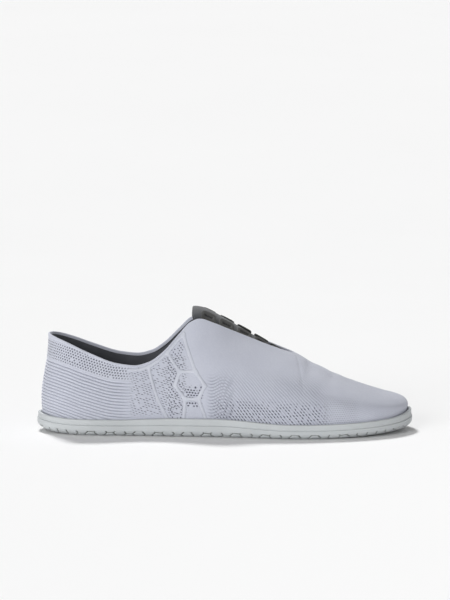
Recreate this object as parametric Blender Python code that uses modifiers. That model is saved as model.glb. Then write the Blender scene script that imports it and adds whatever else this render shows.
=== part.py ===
"""Barefoot shoe for the right foot, standing empty on its sole.

The toe points along +X, the outer (lateral) side is -Y and the sole rests on z = 0.
Every piece follows one outline, the sole's edge seen from above. A place on it is given by
its side and by a share of the way from the back of the heel (0) to the tip of the toe (1).
"""
from collections import namedtuple
from functools import lru_cache

import bmesh
import bpy
import numpy as np

# Sole, seen from above
LENGTH = 0.280
BALL_WIDTH = 0.106
WAIST_WIDTH = 0.080
HEEL_WIDTH = 0.074
TIP_OFFSET = 0.0050
BEND_START = 0.40
OUTLINE_SAMPLES = 1600

# Sole, seen from the side
PLATE = 0.0045
CUP_WALL = 0.0034
TOE_SPRING = 0.0035
TOE_SPRING_START = 0.70
HEEL_LIFT = 0.0025
HEEL_LIFT_END = 0.13
EDGE_ROUND = 0.0070
EDGE_RISE = 0.62
RIM_HEEL = 0.0120
RIM_WAIST = 0.0136
RIM_FOREFOOT = 0.0106
RIM_TOE = 0.0130
LINE_HEEL = 0.0078
LINE_WAIST = 0.0086
LINE_FOREFOOT = 0.0063
LINE_TOE = 0.0078
LINE_WIDTH = 0.0008
LINE_DEPTH = 0.0007
BAND_STEP = 0.0006

# Insole
INSOLE = 0.0030
INSOLE_GAP = 0.0006

# Upper
KNIT_WALL = 0.0020
HEEL_HEIGHT = 0.0720
ANKLE_HEIGHT_LATERAL = 0.0500
ANKLE_HEIGHT_MEDIAL = 0.0540
INSTEP_HEIGHT = 0.0840
VAMP_HEIGHT = 0.0570
TOE_HEIGHT = 0.0300
HEEL_SET_IN = 0.0085
COLLAR_WIDTH = 0.0570
THROAT_WIDTH = 0.0440
THROAT_TOP = 0.1215
THROAT_FRONT = 0.1930
RIDGE_FRONT = 0.2540
KNIT_BULGE = 0.0032

# Tongue
TONGUE = 0.0020
TONGUE_GAP = 0.0007
TONGUE_TOP_WIDTH = 0.0520
TONGUE_FRONT_WIDTH = 0.0360
TONGUE_RISE = 0.0120
TONGUE_START = 0.4600
TONGUE_FRONT = 0.6900
TONGUE_STEPS = 12
TONGUE_COLUMNS = 12
TONGUE_TIP_NARROW = 0.55
TONGUE_CURL = 0.0030
BRIDGE_CROWN = 0.36

# Lace tabs
LACE_TAB = 0.0012
TAB_GAP = 0.0005
TAB_COUNT = 5
TAB_WIDTH = 0.0110
TAB_REACH = 0.0100
TABS_TOP = 0.4620
TABS_FRONT = 0.6130
SLOT_SHARE = 0.60
THROAT_SLANT = 0.93

# Cage of film strips on the knit
CAGE_FILM = 0.0006
CAGE_WIDTH = 0.0028
CAGE_STEPS = 3
TRIM_BELOW = 0.0028

# Tread
TREAD_SIDE = 0.0047
TREAD_WIDTH = 0.0008
TREAD_DEPTH = 0.0010
TREAD_START = 0.0045
TREAD_END = 0.0088
TREAD_TAIL = 0.40

# Clearance between pieces that touch
GAP = 0.0003

LATERAL = -1
MEDIAL = 1

# Shares along a side where the collar turns into the throat and where the throat ends
THROAT_CORNER = 0.442
VAMP_POINT = 0.660
# Share from which the sections start to follow the fall of the ridge over the toes
RIDGE_BLEND = 0.560

# Fineness of the faceted surfaces: columns from the heel to the throat's corner, from there
# to the throat's front and from there to the tip, and rows from the rim to the top
HEEL_STEPS = 17
THROAT_STEPS = 13
TOE_STEPS = 15
SKIN_STEPS = 9
EDGE_STEPS = 3
RUN_STEPS = 24
CAGE_READINGS = 200

# How much the columns crowd together at the heel, at the throat's front and at the tip
HEEL_CROWDING = 1.3
THROAT_CROWDING = 1.7
TOE_CROWDING = 1.2

# Steps used to read slopes of the outline and of the upper, as shares
NORMAL_STEP = 0.004
RIDGE_STEP = 0.010
SKIN_STEP = 0.003


def mix(start, end, share):
    return start + (end - start) * share


# The sole's edge: share of the length, and share of the named width that the foot has there
EdgePoint = namedtuple("EdgePoint", "along reach width")
LATERAL_EDGE = [
    EdgePoint(0.035, 0.300, HEEL_WIDTH),
    EdgePoint(0.110, 0.460, HEEL_WIDTH),
    EdgePoint(0.210, 0.505, HEEL_WIDTH),
    EdgePoint(0.340, 0.515, WAIST_WIDTH),
    EdgePoint(0.460, 0.565, WAIST_WIDTH),
    EdgePoint(0.570, 0.475, BALL_WIDTH),
    EdgePoint(0.660, 0.522, BALL_WIDTH),
    EdgePoint(0.735, 0.527, BALL_WIDTH),
    EdgePoint(0.820, 0.487, BALL_WIDTH),
    EdgePoint(0.900, 0.395, BALL_WIDTH),
    EdgePoint(0.965, 0.235, BALL_WIDTH),
]
MEDIAL_EDGE = [
    EdgePoint(0.035, 0.300, HEEL_WIDTH),
    EdgePoint(0.110, 0.460, HEEL_WIDTH),
    EdgePoint(0.210, 0.490, HEEL_WIDTH),
    EdgePoint(0.340, 0.420, WAIST_WIDTH),
    EdgePoint(0.460, 0.395, WAIST_WIDTH),
    EdgePoint(0.570, 0.355, BALL_WIDTH),
    EdgePoint(0.660, 0.420, BALL_WIDTH),
    EdgePoint(0.740, 0.467, BALL_WIDTH),
    EdgePoint(0.830, 0.460, BALL_WIDTH),
    EdgePoint(0.910, 0.400, BALL_WIDTH),
    EdgePoint(0.970, 0.285, BALL_WIDTH),
]

# The sole's side: height of the rim and of the fine line above the bottom
SideStep = namedtuple("SideStep", "along rim line")
SOLE_SIDE = [
    SideStep(0.00, RIM_HEEL, LINE_HEEL),
    SideStep(0.24, RIM_HEEL, LINE_HEEL),
    SideStep(0.37, RIM_WAIST, LINE_WAIST),
    SideStep(0.46, RIM_WAIST, LINE_WAIST),
    SideStep(0.62, RIM_FOREFOOT, LINE_FOREFOOT),
    SideStep(0.86, RIM_FOREFOOT, LINE_FOREFOOT),
    SideStep(1.00, RIM_TOE, LINE_TOE),
]

# The sections of the last. Each starts on the rim and ends at the collar, at the throat's edge
# or on the ridge over the toes. The last three columns shape it: how far it rises straight up
# and how far it falls steeply to its end, as shares of its height, and how far it runs level
# into its end, as a share of its width.
Section = namedtuple("Section", "along top_x spread top_z rise shoulder drop")


def sections(ankle):
    collar = COLLAR_WIDTH / 2
    throat = THROAT_WIDTH / 2
    return [
        Section(0.000, HEEL_SET_IN, 0.0, HEEL_HEIGHT, 0.39, -0.20, 0.35),
        Section(0.040, mix(HEEL_SET_IN, THROAT_TOP, 0.012), 0.39 * collar,
                mix(HEEL_HEIGHT, ankle, 0.02), 0.38, -0.10, 0.35),
        Section(0.080, mix(HEEL_SET_IN, THROAT_TOP, 0.060), 0.69 * collar,
                mix(HEEL_HEIGHT, ankle, 0.10), 0.37, 0.00, 0.35),
        Section(0.120, mix(HEEL_SET_IN, THROAT_TOP, 0.145), 0.86 * collar,
                mix(HEEL_HEIGHT, ankle, 0.27), 0.36, 0.10, 0.35),
        Section(0.170, mix(HEEL_SET_IN, THROAT_TOP, 0.275), 0.965 * collar,
                mix(HEEL_HEIGHT, ankle, 0.57), 0.37, 0.15, 0.36),
        Section(0.240, mix(HEEL_SET_IN, THROAT_TOP, 0.465), collar,
                mix(HEEL_HEIGHT, ankle, 0.93), 0.38, 0.20, 0.38),
        Section(0.280, mix(HEEL_SET_IN, THROAT_TOP, 0.580), collar, ankle, 0.38, 0.25, 0.38),
        Section(0.320, mix(HEEL_SET_IN, THROAT_TOP, 0.675), 0.98 * collar,
                mix(ankle, INSTEP_HEIGHT, 0.08), 0.37, 0.28, 0.37),
        Section(0.360, mix(HEEL_SET_IN, THROAT_TOP, 0.770), 0.945 * collar,
                mix(ankle, INSTEP_HEIGHT, 0.31), 0.36, 0.32, 0.34),
        Section(0.400, mix(HEEL_SET_IN, THROAT_TOP, 0.870), 0.87 * collar,
                mix(ankle, INSTEP_HEIGHT, 0.68), 0.37, 0.36, 0.30),
        Section(0.425, mix(HEEL_SET_IN, THROAT_TOP, 0.942), 1.05 * throat,
                mix(ankle, INSTEP_HEIGHT, 0.93), 0.38, 0.38, 0.28),
        Section(THROAT_CORNER, THROAT_TOP, throat, INSTEP_HEIGHT, 0.39, 0.40, 0.27),
        Section(0.470, mix(THROAT_TOP, THROAT_FRONT, 0.140), 0.94 * throat,
                mix(INSTEP_HEIGHT, VAMP_HEIGHT, 0.11), 0.42, 0.44, 0.26),
        Section(0.500, mix(THROAT_TOP, THROAT_FRONT, 0.290), 0.87 * throat,
                mix(INSTEP_HEIGHT, VAMP_HEIGHT, 0.27), 0.46, 0.48, 0.24),
        Section(0.540, mix(THROAT_TOP, THROAT_FRONT, 0.480), 0.78 * throat,
                mix(INSTEP_HEIGHT, VAMP_HEIGHT, 0.47), 0.49, 0.52, 0.19),
        Section(0.580, mix(THROAT_TOP, THROAT_FRONT, 0.665), 0.69 * throat,
                mix(INSTEP_HEIGHT, VAMP_HEIGHT, 0.67), 0.51, 0.53, 0.14),
        Section(0.610, mix(THROAT_TOP, THROAT_FRONT, 0.805), 0.58 * throat,
                mix(INSTEP_HEIGHT, VAMP_HEIGHT, 0.81), 0.52, 0.53, 0.10),
        Section(0.635, mix(THROAT_TOP, THROAT_FRONT, 0.925), 0.40 * throat,
                mix(INSTEP_HEIGHT, VAMP_HEIGHT, 0.925), 0.53, 0.53, 0.05),
        Section(0.650, mix(THROAT_TOP, THROAT_FRONT, 0.980), 0.22 * throat,
                mix(INSTEP_HEIGHT, VAMP_HEIGHT, 0.98), 0.53, 0.53, 0.02),
        Section(VAMP_POINT, THROAT_FRONT, 0.0, VAMP_HEIGHT, 0.54, 0.53, 0.0),
        Section(0.700, mix(THROAT_FRONT, RIDGE_FRONT, 0.140), 0.0,
                mix(VAMP_HEIGHT, TOE_HEIGHT, 0.185), 0.56, 0.53, 0.0),
        Section(0.750, mix(THROAT_FRONT, RIDGE_FRONT, 0.310), 0.0,
                mix(VAMP_HEIGHT, TOE_HEIGHT, 0.385), 0.58, 0.53, 0.0),
        Section(0.800, mix(THROAT_FRONT, RIDGE_FRONT, 0.475), 0.0,
                mix(VAMP_HEIGHT, TOE_HEIGHT, 0.570), 0.60, 0.54, 0.0),
        Section(0.850, mix(THROAT_FRONT, RIDGE_FRONT, 0.640), 0.0,
                mix(VAMP_HEIGHT, TOE_HEIGHT, 0.730), 0.62, 0.55, 0.0),
        Section(0.900, mix(THROAT_FRONT, RIDGE_FRONT, 0.800), 0.0,
                mix(VAMP_HEIGHT, TOE_HEIGHT, 0.865), 0.64, 0.56, 0.0),
        Section(0.950, mix(THROAT_FRONT, RIDGE_FRONT, 0.930), 0.0,
                mix(VAMP_HEIGHT, TOE_HEIGHT, 0.960), 0.66, 0.56, 0.0),
        Section(1.000, RIDGE_FRONT, 0.0, TOE_HEIGHT, 0.68, 0.56, 0.0),
    ]


def closed_spline(points, count):
    """Even samples of the smooth closed curve through the points."""
    number = len(points)
    step = np.linalg.norm(np.roll(points, -1, axis=0) - points, axis=1)
    matrix = np.zeros((number, number))
    right = np.zeros((number, 2))
    for i in range(number):
        before, after = step[i - 1], step[i]
        nxt = (i + 1) % number
        matrix[i, i - 1] += after
        matrix[i, i] += 2 * (before + after)
        matrix[i, nxt] += before
        right[i] = 3 * (after * (points[i] - points[i - 1]) / before
                        + before * (points[nxt] - points[i]) / after)
    slope = np.linalg.solve(matrix, right)
    start = np.concatenate([[0.0], np.cumsum(step)])
    place = np.linspace(0.0, start[-1], count, endpoint=False)
    k = np.clip(np.searchsorted(start, place, side="right") - 1, 0, number - 1)
    h = step[k][:, None]
    t = (place - start[k])[:, None] / h
    k1 = (k + 1) % number
    return ((2 * t**3 - 3 * t**2 + 1) * points[k] + (t**3 - 2 * t**2 + t) * h * slope[k]
            + (3 * t**2 - 2 * t**3) * points[k1] + (t**3 - t**2) * h * slope[k1])


class Edge:
    """One side of the sole's outline, from the back of the heel to the tip of the toe."""

    def __init__(self, points):
        run = np.cumsum(np.linalg.norm(np.diff(points, axis=0), axis=1))
        self.share = np.concatenate([[0.0], run]) / run[-1]
        self.points = points

    def at(self, share):
        return np.array([np.interp(share, self.share, self.points[:, i]) for i in (0, 1)])


def outline_sides():
    heel = [[0.0, 0.0]]
    lateral = [[p.along * LENGTH, -p.reach * p.width] for p in LATERAL_EDGE]
    tip = [[LENGTH, TIP_OFFSET]]
    medial = [[p.along * LENGTH, p.reach * p.width] for p in reversed(MEDIAL_EDGE)]
    loop = closed_spline(np.array(heel + lateral + tip + medial), OUTLINE_SAMPLES)
    front = int(np.argmax(loop[:, 0]))
    back = np.vstack([loop[front:], loop[:1]])[::-1]
    return {LATERAL: Edge(loop[:front + 1]), MEDIAL: Edge(back)}


EDGES = outline_sides()


def edge_point(side, share, inset):
    """A point of the outline moved inwards, and the direction outwards, both seen from above."""
    edge = EDGES[side]
    ahead = edge.at(min(share + NORMAL_STEP, 1.0))
    behind = edge.at(max(share - NORMAL_STEP, 0.0))
    run = ahead - behind
    if share - NORMAL_STEP < 0.0 or share + NORMAL_STEP > 1.0:
        other = EDGES[-side]
        past = other.at(NORMAL_STEP - share if share < 0.5 else 2.0 - share - NORMAL_STEP)
        run = ahead - past if share < 0.5 else past - behind
    out = np.array([run[1], -run[0]]) * (-side) / np.linalg.norm(run)
    return edge.at(share) - out * inset, out


def smooth_column(rows, column, share, odd=False):
    """Smooth reading of one column of a table, without overshoot between its rows."""
    sign = -1.0 if odd else 1.0
    place = [2 * rows[0].along - rows[1].along] + [r.along for r in rows]
    place.append(2 * rows[-1].along - rows[-2].along)
    value = [getattr(r, column) for r in rows]
    value = np.array([sign * value[1]] + value + [sign * value[-2]])
    place = np.array(place)
    rate = np.diff(value) / np.diff(place)
    slope = np.zeros(len(value))
    for i in range(1, len(value) - 1):
        if rate[i - 1] * rate[i] > 0:
            slope[i] = 2 * rate[i - 1] * rate[i] / (rate[i - 1] + rate[i])
    k = int(np.clip(np.searchsorted(place, share, side="right") - 1, 1, len(rows) - 1))
    h = place[k + 1] - place[k]
    t = (share - place[k]) / h
    return ((2 * t**3 - 3 * t**2 + 1) * value[k] + (t**3 - 2 * t**2 + t) * h * slope[k]
            + (3 * t**2 - 2 * t**3) * value[k + 1] + (t**3 - t**2) * h * slope[k + 1])


def bottom(x):
    """Height of the sole's bottom: level from heel to ball, rising to the toe and the heel."""
    toe = max(0.0, x / LENGTH - TOE_SPRING_START) / (1 - TOE_SPRING_START)
    heel = max(0.0, HEEL_LIFT_END - x / LENGTH) / HEEL_LIFT_END
    return TOE_SPRING * toe**2 + HEEL_LIFT * heel**2


def rim_height(share):
    return smooth_column(SOLE_SIDE, "rim", share)


def line_height(share):
    return smooth_column(SOLE_SIDE, "line", share)


def middle_y(x):
    """The shoe's middle line bends a little towards the big toe."""
    share = np.clip((x / LENGTH - BEND_START) / (1 - BEND_START), 0.0, 1.0)
    return TIP_OFFSET * share * share * (3 - 2 * share)


SECTIONS = {LATERAL: sections(ANKLE_HEIGHT_LATERAL), MEDIAL: sections(ANKLE_HEIGHT_MEDIAL)}


def rim_point(side, share, inset=CUP_WALL + GAP):
    place, out = edge_point(side, share, inset)
    return np.array([place[0], place[1], bottom(place[0]) + rim_height(share)]), out


def top_point(side, share):
    rows = SECTIONS[side]
    x = smooth_column(rows, "top_x", share)
    spread = smooth_column(rows, "spread", share, odd=True) if share < VAMP_POINT else 0.0
    return np.array([x, middle_y(x) + side * spread, smooth_column(rows, "top_z", share)])


@lru_cache(maxsize=None)
def section_levers(side, share):
    """The four points that shape one section of the upper, from the rim to its top."""
    start, out = rim_point(side, share)
    end = top_point(side, share)
    rows = SECTIONS[side]
    height = end[2] - start[2]
    level = smooth_column(rows, "shoulder", share) * np.linalg.norm((end - start)[:2])
    fall = smooth_column(rows, "drop", share) * height
    over_toes = np.clip((share - RIDGE_BLEND) / (VAMP_POINT - RIDGE_BLEND), 0.0, 1.0)
    over_toes *= over_toes * (3 - 2 * over_toes)
    if over_toes:
        here = top_point(side, max(share - RIDGE_STEP, VAMP_POINT))
        ahead = top_point(side, min(max(share, VAMP_POINT) + RIDGE_STEP, 1.0))
        fall += over_toes * level * out[0] * (here[2] - ahead[2]) / (ahead[0] - here[0])
    first = start + np.array([out[0], out[1], 0.0]) * KNIT_BULGE
    first[2] += smooth_column(rows, "rise", share) * height
    second = end + np.array([out[0], out[1], 0.0]) * level
    second[2] -= fall
    return start, first, second, end


def bezier(levers, t):
    a, b, c, d = levers
    return (1 - t)**3 * a + 3 * t * (1 - t)**2 * b + 3 * t * t * (1 - t) * c + t**3 * d


def skin(side, share, up):
    """A point of the upper's outer face: up is 0 at the rim and 1 at the section's top."""
    return bezier(section_levers(side, share), up)


def skin_normal(side, share, up):
    low, high = max(up - SKIN_STEP, 0.0), min(up + SKIN_STEP, 1.0)
    rise = skin(side, share, high) - skin(side, share, low)
    before, after = max(share - SKIN_STEP, 0.0), min(share + SKIN_STEP, 1.0)
    run = skin(side, after, up) - skin(side, before, up)
    normal = np.cross(run, rise) * (-side)
    return normal / np.linalg.norm(normal)


def under_skin(side, share, up, depth):
    """A point below the upper's outer face, or above it where the depth is negative."""
    return skin(side, share, up) - skin_normal(side, share, up) * depth


@lru_cache(maxsize=None)
def section_run(side, share):
    """Lengths along one section from the rim, and the ups that they belong to."""
    ups = np.linspace(0.0, 1.0, RUN_STEPS + 1)
    points = np.array([skin(side, share, up) for up in ups])
    run = np.linalg.norm(np.diff(points, axis=0), axis=1)
    return np.concatenate([[0.0], np.cumsum(run)]), ups


def side_shares():
    """Shares along one side, closer together where the outline or the throat turns."""
    heel = THROAT_CORNER * np.linspace(0.0, 1.0, HEEL_STEPS + 1)**HEEL_CROWDING
    left = np.linspace(1.0, 0.0, THROAT_STEPS + 1)**THROAT_CROWDING
    throat = mix(THROAT_CORNER, VAMP_POINT, 1 - left)
    toe = mix(VAMP_POINT, 1.0, 1 - np.linspace(1.0, 0.0, TOE_STEPS + 1)**TOE_CROWDING)
    return np.concatenate([heel, throat[1:], toe[1:]])


def around(every=1):
    """Side and share of each column on a full turn round the shoe, from the heel's back."""
    shares = side_shares()
    shares = np.append(shares[:-1][::every], shares[-1])
    return [(LATERAL, s) for s in shares] + [(MEDIAL, s) for s in shares[-2:0:-1]]


def sole_centre():
    """The middle of the sole seen from above, which is the shoe's origin."""
    points = np.array([edge_point(side, share, 0.0)[0] for side, share in around()])
    return np.append((points.min(axis=0) + points.max(axis=0)) / 2, 0.0)


def make_object(name, verts, faces, material, wall=0.0):
    """An object from points and faces. A surface gets its wall on the inner side."""
    mesh = bpy.data.meshes.new(name)
    mesh.from_pydata([tuple(v - CENTRE) for v in np.array(verts)], [], faces)
    form = bmesh.new()
    form.from_mesh(mesh)
    bmesh.ops.remove_doubles(form, verts=form.verts, dist=0.00001)
    if not wall:
        bmesh.ops.recalc_face_normals(form, faces=form.faces)
    form.to_mesh(mesh)
    form.free()
    mesh.shade_smooth()
    mesh.materials.append(material)
    obj = bpy.data.objects.new(name, mesh)
    PARTS.objects.link(obj)
    if wall:
        solid = obj.modifiers.new("wall", "SOLIDIFY")
        solid.thickness = wall
        solid.offset = -1.0
        solid.use_even_offset = True
        solid.use_quality_normals = True
    return obj


def ring_faces(rows, columns):
    """Quads between closed rings of the same number of points, facing out for rows going up."""
    faces = []
    for r in range(rows - 1):
        for c in range(columns):
            d = (c + 1) % columns
            low, high = r * columns, (r + 1) * columns
            faces.append([low + c, low + d, high + d, high + c])
    return faces


def cross_faces(first, columns):
    """Faces across a ring, each joining the two sides at the same share."""
    half = columns // 2
    faces = [[first, first + 1, first + columns - 1]]
    for k in range(1, half - 1):
        faces.append([first + k, first + k + 1, first + columns - k - 1, first + columns - k])
    faces.append([first + half - 1, first + half, first + half + 1])
    return faces


def network(nodes, bars, width, pieces):
    """Flat bands of one width along the bars, joined at the nodes.
    Returns points of the plane and faces, each seen anticlockwise."""
    nodes = [np.array(n, dtype=float) for n in nodes]
    arms = [[] for _ in nodes]
    for i, j in bars:
        arms[i].append(j)
        arms[j].append(i)
    points, faces, left, right = [], [], {}, {}
    for i, ends in enumerate(arms):
        turn = {j: np.arctan2(*(nodes[j] - nodes[i])[::-1]) for j in ends}
        ends = sorted(ends, key=turn.get)
        ring = []
        for k, j in enumerate(ends):
            n = ends[(k + 1) % len(ends)]
            way = np.array([np.cos(turn[j]), np.sin(turn[j])])
            after = np.array([np.cos(turn[n]), np.sin(turn[n])])
            sine = way[0] * after[1] - way[1] * after[0]
            square = np.array([-way[1], way[0]])
            corner = square * width / 2 if abs(sine) < 0.2 else (way + after) * width / 2 / sine
            left[i, j] = right[i, n] = len(points)
            ring.append(len(points))
            points.append(nodes[i] + corner)
            if len(ends) == 1:
                right[i, j] = len(points)
                points.append(nodes[i] - corner)
        if len(ring) > 2:
            faces.append(ring)
    for i, j in bars:
        near, far = (right[i, j], left[i, j]), (left[j, i], right[j, i])
        last = near
        for k in range(1, pieces + 1):
            if k == pieces:
                here = far
            else:
                here = (len(points), len(points) + 1)
                for start, end in zip(near, far):
                    points.append(mix(points[start], points[end], k / pieces))
            faces.append([last[0], here[0], here[1], last[1]])
            last = here
    return np.array(points), faces


def thick_network(name, nodes, bars, width, pieces, place, material):
    """A network as a solid: place(point, level) puts its outer face at level 1 and its inner
    face at level 0."""
    points, faces = network(nodes, bars, width, pieces)
    count = len(points)
    verts = [place(p, 1) for p in points] + [place(p, 0) for p in points]
    edges = {(f[k], f[(k + 1) % len(f)]) for f in faces for k in range(len(f))}
    rims = [[b, a, a + count, b + count] for a, b in edges if (b, a) not in edges]
    inner = [[v + count for v in reversed(f)] for f in faces]
    return make_object(name, verts, faces + inner + rims, material)


def make_material(name, color, roughness):
    made = bpy.data.materials.new(name)
    made.use_nodes = True
    shader = made.node_tree.nodes["Principled BSDF"]
    shader.inputs["Base Color"].default_value = (*color, 1.0)
    shader.inputs["Roughness"].default_value = roughness
    shader.inputs["Metallic"].default_value = 0.0
    return made


# Outsole: one moulded cup
def sole_profile(share):
    """Steps of the cup from the flat of the bottom round the edge to the plate's top inside:
    distance inwards from the outline, and height above the bottom."""
    rim = rim_height(share)
    line = line_height(share)
    edge = [(EDGE_ROUND * (1 - np.sin(a)), EDGE_RISE * line * (1 - np.cos(a)))
            for a in np.linspace(0.0, np.pi / 2, EDGE_STEPS + 1)]
    side = [
        (0.1 * BAND_STEP, line - LINE_WIDTH / 2),
        (LINE_DEPTH + BAND_STEP / 2, line),
        (BAND_STEP, line + LINE_WIDTH / 2),
        (BAND_STEP + 0.15 * CUP_WALL, rim - 0.25 * CUP_WALL),
        (0.55 * CUP_WALL, rim),
        (0.94 * CUP_WALL, rim - 0.06 * CUP_WALL),
        (CUP_WALL, rim - 0.35 * CUP_WALL),
        (CUP_WALL, PLATE),
    ]
    return edge + side


def outsole():
    places = around()
    profiles = [sole_profile(share) for _, share in places]
    rows, columns = len(profiles[0]), len(places)
    verts = []
    for r in range(rows):
        for (side, share), profile in zip(places, profiles):
            inset, height = profile[r]
            place, _ = edge_point(side, share, inset)
            verts.append((place[0], place[1], bottom(place[0]) + height))
    faces = ring_faces(rows, columns)
    faces += cross_faces(0, columns)
    faces += cross_faces((rows - 1) * columns, columns)
    return make_object("outsole", verts, faces, RUBBER)


def wrap_on_sole(point, depth):
    """Lays a point of the tread's flat pattern on the sole. The pattern is level under the foot
    and folds up round the edge like a cloth."""
    best = None
    for side in (LATERAL, MEDIAL):
        edge = EDGES[side]
        gap = np.linalg.norm(edge.points - point, axis=1)
        k = int(np.argmin(gap))
        if best is None or gap[k] < best[0]:
            best = (gap[k], side, edge.share[k])
    _, side, share = best
    place, out = edge_point(side, share, 0.0)
    past_flat = EDGE_ROUND + float(np.dot(point - place, out))
    if past_flat <= 0:
        return np.array([point[0], point[1], bottom(point[0]) + depth])
    rise = EDGE_RISE * line_height(share)
    turns = np.linspace(0.0, np.pi / 2, RUN_STEPS + 1)
    curve = np.column_stack([EDGE_ROUND * (1 - np.sin(turns)), rise * (1 - np.cos(turns))])
    run = np.concatenate([[0.0], np.cumsum(np.linalg.norm(np.diff(curve, axis=0), axis=1))])
    turn = np.interp(past_flat, run, turns)
    face_out, face_down = np.sin(turn) * rise, np.cos(turn) * EDGE_ROUND
    size = np.hypot(face_out, face_down)
    inset = EDGE_ROUND * (1 - np.sin(turn)) + depth * face_out / size
    height = rise * (1 - np.cos(turn)) + max(0.0, past_flat - run[-1]) + depth * face_down / size
    laid, _ = edge_point(side, share, inset)
    return np.array([laid[0], laid[1], bottom(laid[0]) + height])


def tread_grooves():
    """Grooves between the tread's hexagons where they fold up round the edge, as one cutter."""
    side = TREAD_SIDE
    places, near = [], {}

    def node(x, y):
        key = (round(x / side * 4), round(y / side * 4))
        if key not in near:
            near[key] = len(places)
            places.append(np.array([x, y]))
        return near[key]

    bars = set()
    across = int(BALL_WIDTH / side / np.sqrt(3)) + 2
    for i in range(int(LENGTH / side / 1.5) + 3):
        for j in range(-across, across + 1):
            x, y = 1.5 * side * i, np.sqrt(3) * side * (j + 0.5 * (i % 2))
            ring = [node(x + side * np.cos(a), y + side * np.sin(a))
                    for a in np.radians(range(0, 360, 60))]
            bars |= {tuple(sorted((ring[k], ring[(k + 1) % 6]))) for k in range(6)}
    loop = np.vstack([EDGES[LATERAL].points, EDGES[MEDIAL].points[::-1]])
    kept = []
    for p in places:
        k = int(np.argmin(np.linalg.norm(loop - p, axis=1)))
        run = loop[(k + 1) % len(loop)] - loop[k - 1]
        out = np.array([-run[1], run[0]]) / -np.linalg.norm(run)
        past = EDGE_ROUND + float(np.dot(p - loop[k], out))
        kept.append(TREAD_START < past < TREAD_END)
    index, nodes, joins = {}, [], []
    for a, b in sorted(bars):
        if not (kept[a] or kept[b]):
            continue
        ends = []
        for here, other in ((a, b), (b, a)):
            if kept[here]:
                if here not in index:
                    index[here] = len(nodes)
                    nodes.append(places[here])
                ends.append(index[here])
            else:
                ends.append(len(nodes))
                nodes.append(mix(places[other], places[here], TREAD_TAIL))
        joins.append(tuple(ends))
    depths = {1: TREAD_DEPTH, 0: -TREAD_DEPTH / 2}
    cutter = thick_network("tread_grooves", nodes, joins, TREAD_WIDTH, 1,
                           lambda p, level: wrap_on_sole(p, depths[level]), RUBBER)
    cutter.hide_render = True
    cutter.display_type = "WIRE"
    PARTS.objects.unlink(cutter)
    CUTTERS.objects.link(cutter)
    return cutter


def cut(obj, cutter):
    step = obj.modifiers.new(cutter.name, "BOOLEAN")
    step.operation = "DIFFERENCE"
    step.object = cutter


# Insole: a flat footbed that fills the cup inside the upper's wall
def insole():
    inset = CUP_WALL + GAP + KNIT_WALL + INSOLE_GAP
    places = around(2)
    verts = []
    for level in (PLATE + GAP, PLATE + GAP + INSOLE):
        for side, share in places:
            place, _ = edge_point(side, share, inset)
            verts.append((place[0], place[1], bottom(place[0]) + level))
    columns = len(places)
    faces = ring_faces(2, columns) + cross_faces(0, columns) + cross_faces(columns, columns)
    return make_object("insole", verts, faces, LINING)


# Upper: one hollow knitted shell, open at the collar, the throat and underneath
def upper():
    places = around()
    verts = []
    for side, share in places:
        point, _ = rim_point(side, share)
        verts.append((point[0], point[1], bottom(point[0]) + PLATE + GAP))
    for up in np.linspace(0.0, 1.0, SKIN_STEPS + 1):
        verts += [skin(side, share, up) for side, share in places]
    return make_object("upper", verts, ring_faces(SKIN_STEPS + 2, len(places)), KNIT, KNIT_WALL)


# The instep's form, also where the throat leaves it open
def bridge(share, depth):
    """Levers of the curve over the open throat, below the skin by a depth, and its length."""
    ends, levers = [], []
    for side in (LATERAL, MEDIAL):
        end = under_skin(side, share, 1.0, depth)
        slope = end - under_skin(side, share, 1.0 - 10 * SKIN_STEP, depth)
        ends.append(end)
        levers.append(slope / np.linalg.norm(slope))
    width = np.linalg.norm(ends[1] - ends[0])
    curve = (ends[0], ends[0] + levers[0] * width * BRIDGE_CROWN,
             ends[1] + levers[1] * width * BRIDGE_CROWN, ends[1])
    return curve, width


def instep(share, offset, depth):
    """A point below the instep's form, at an offset from the throat's middle line: negative is
    lateral. Past the throat's edge it runs on under the knit."""
    curve, width = bridge(share, depth)
    if abs(offset) <= width / 2:
        return bezier(curve, 0.5 + offset / width)
    side = MEDIAL if offset > 0 else LATERAL
    lengths, ups = section_run(side, share)
    up = np.interp(lengths[-1] - abs(offset) + width / 2, lengths, ups)
    return under_skin(side, share, up, depth)


# Tongue: a thin strip that follows the instep under the throat
def tongue():
    depth = KNIT_WALL + TAB_GAP + LACE_TAB + TONGUE_GAP
    across = np.linspace(-1.0, 1.0, TONGUE_COLUMNS + 1)
    rows = []
    for share in np.linspace(TONGUE_START, TONGUE_FRONT, TONGUE_STEPS + 1):
        half = mix(TONGUE_TOP_WIDTH, TONGUE_FRONT_WIDTH,
                   (share - TONGUE_START) / (TONGUE_FRONT - TONGUE_START)) / 2
        rows.append([instep(share, q * half, depth) for q in across])
    rows = np.array(rows)
    way = (rows[0] - rows[1]).mean(axis=0)
    way /= np.linalg.norm(way)
    tips = []
    for step in (1.0, 0.92, 0.75, 0.4):
        half = (1.0 - TONGUE_TIP_NARROW * step**3) * TONGUE_TOP_WIDTH / 2
        row = np.array([instep(TONGUE_START, q * half, depth) for q in across])
        tips.append(row + way * TONGUE_RISE * step - (0, 0, TONGUE_CURL * step**2))
    rows = np.vstack([tips, rows])
    count = rows.shape[1]
    faces = [[r * count + c, (r + 1) * count + c, (r + 1) * count + c + 1, r * count + c + 1]
             for r in range(len(rows) - 1) for c in range(count - 1)]
    return make_object("tongue", rows.reshape(-1, 3), faces, LINING, TONGUE)


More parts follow.
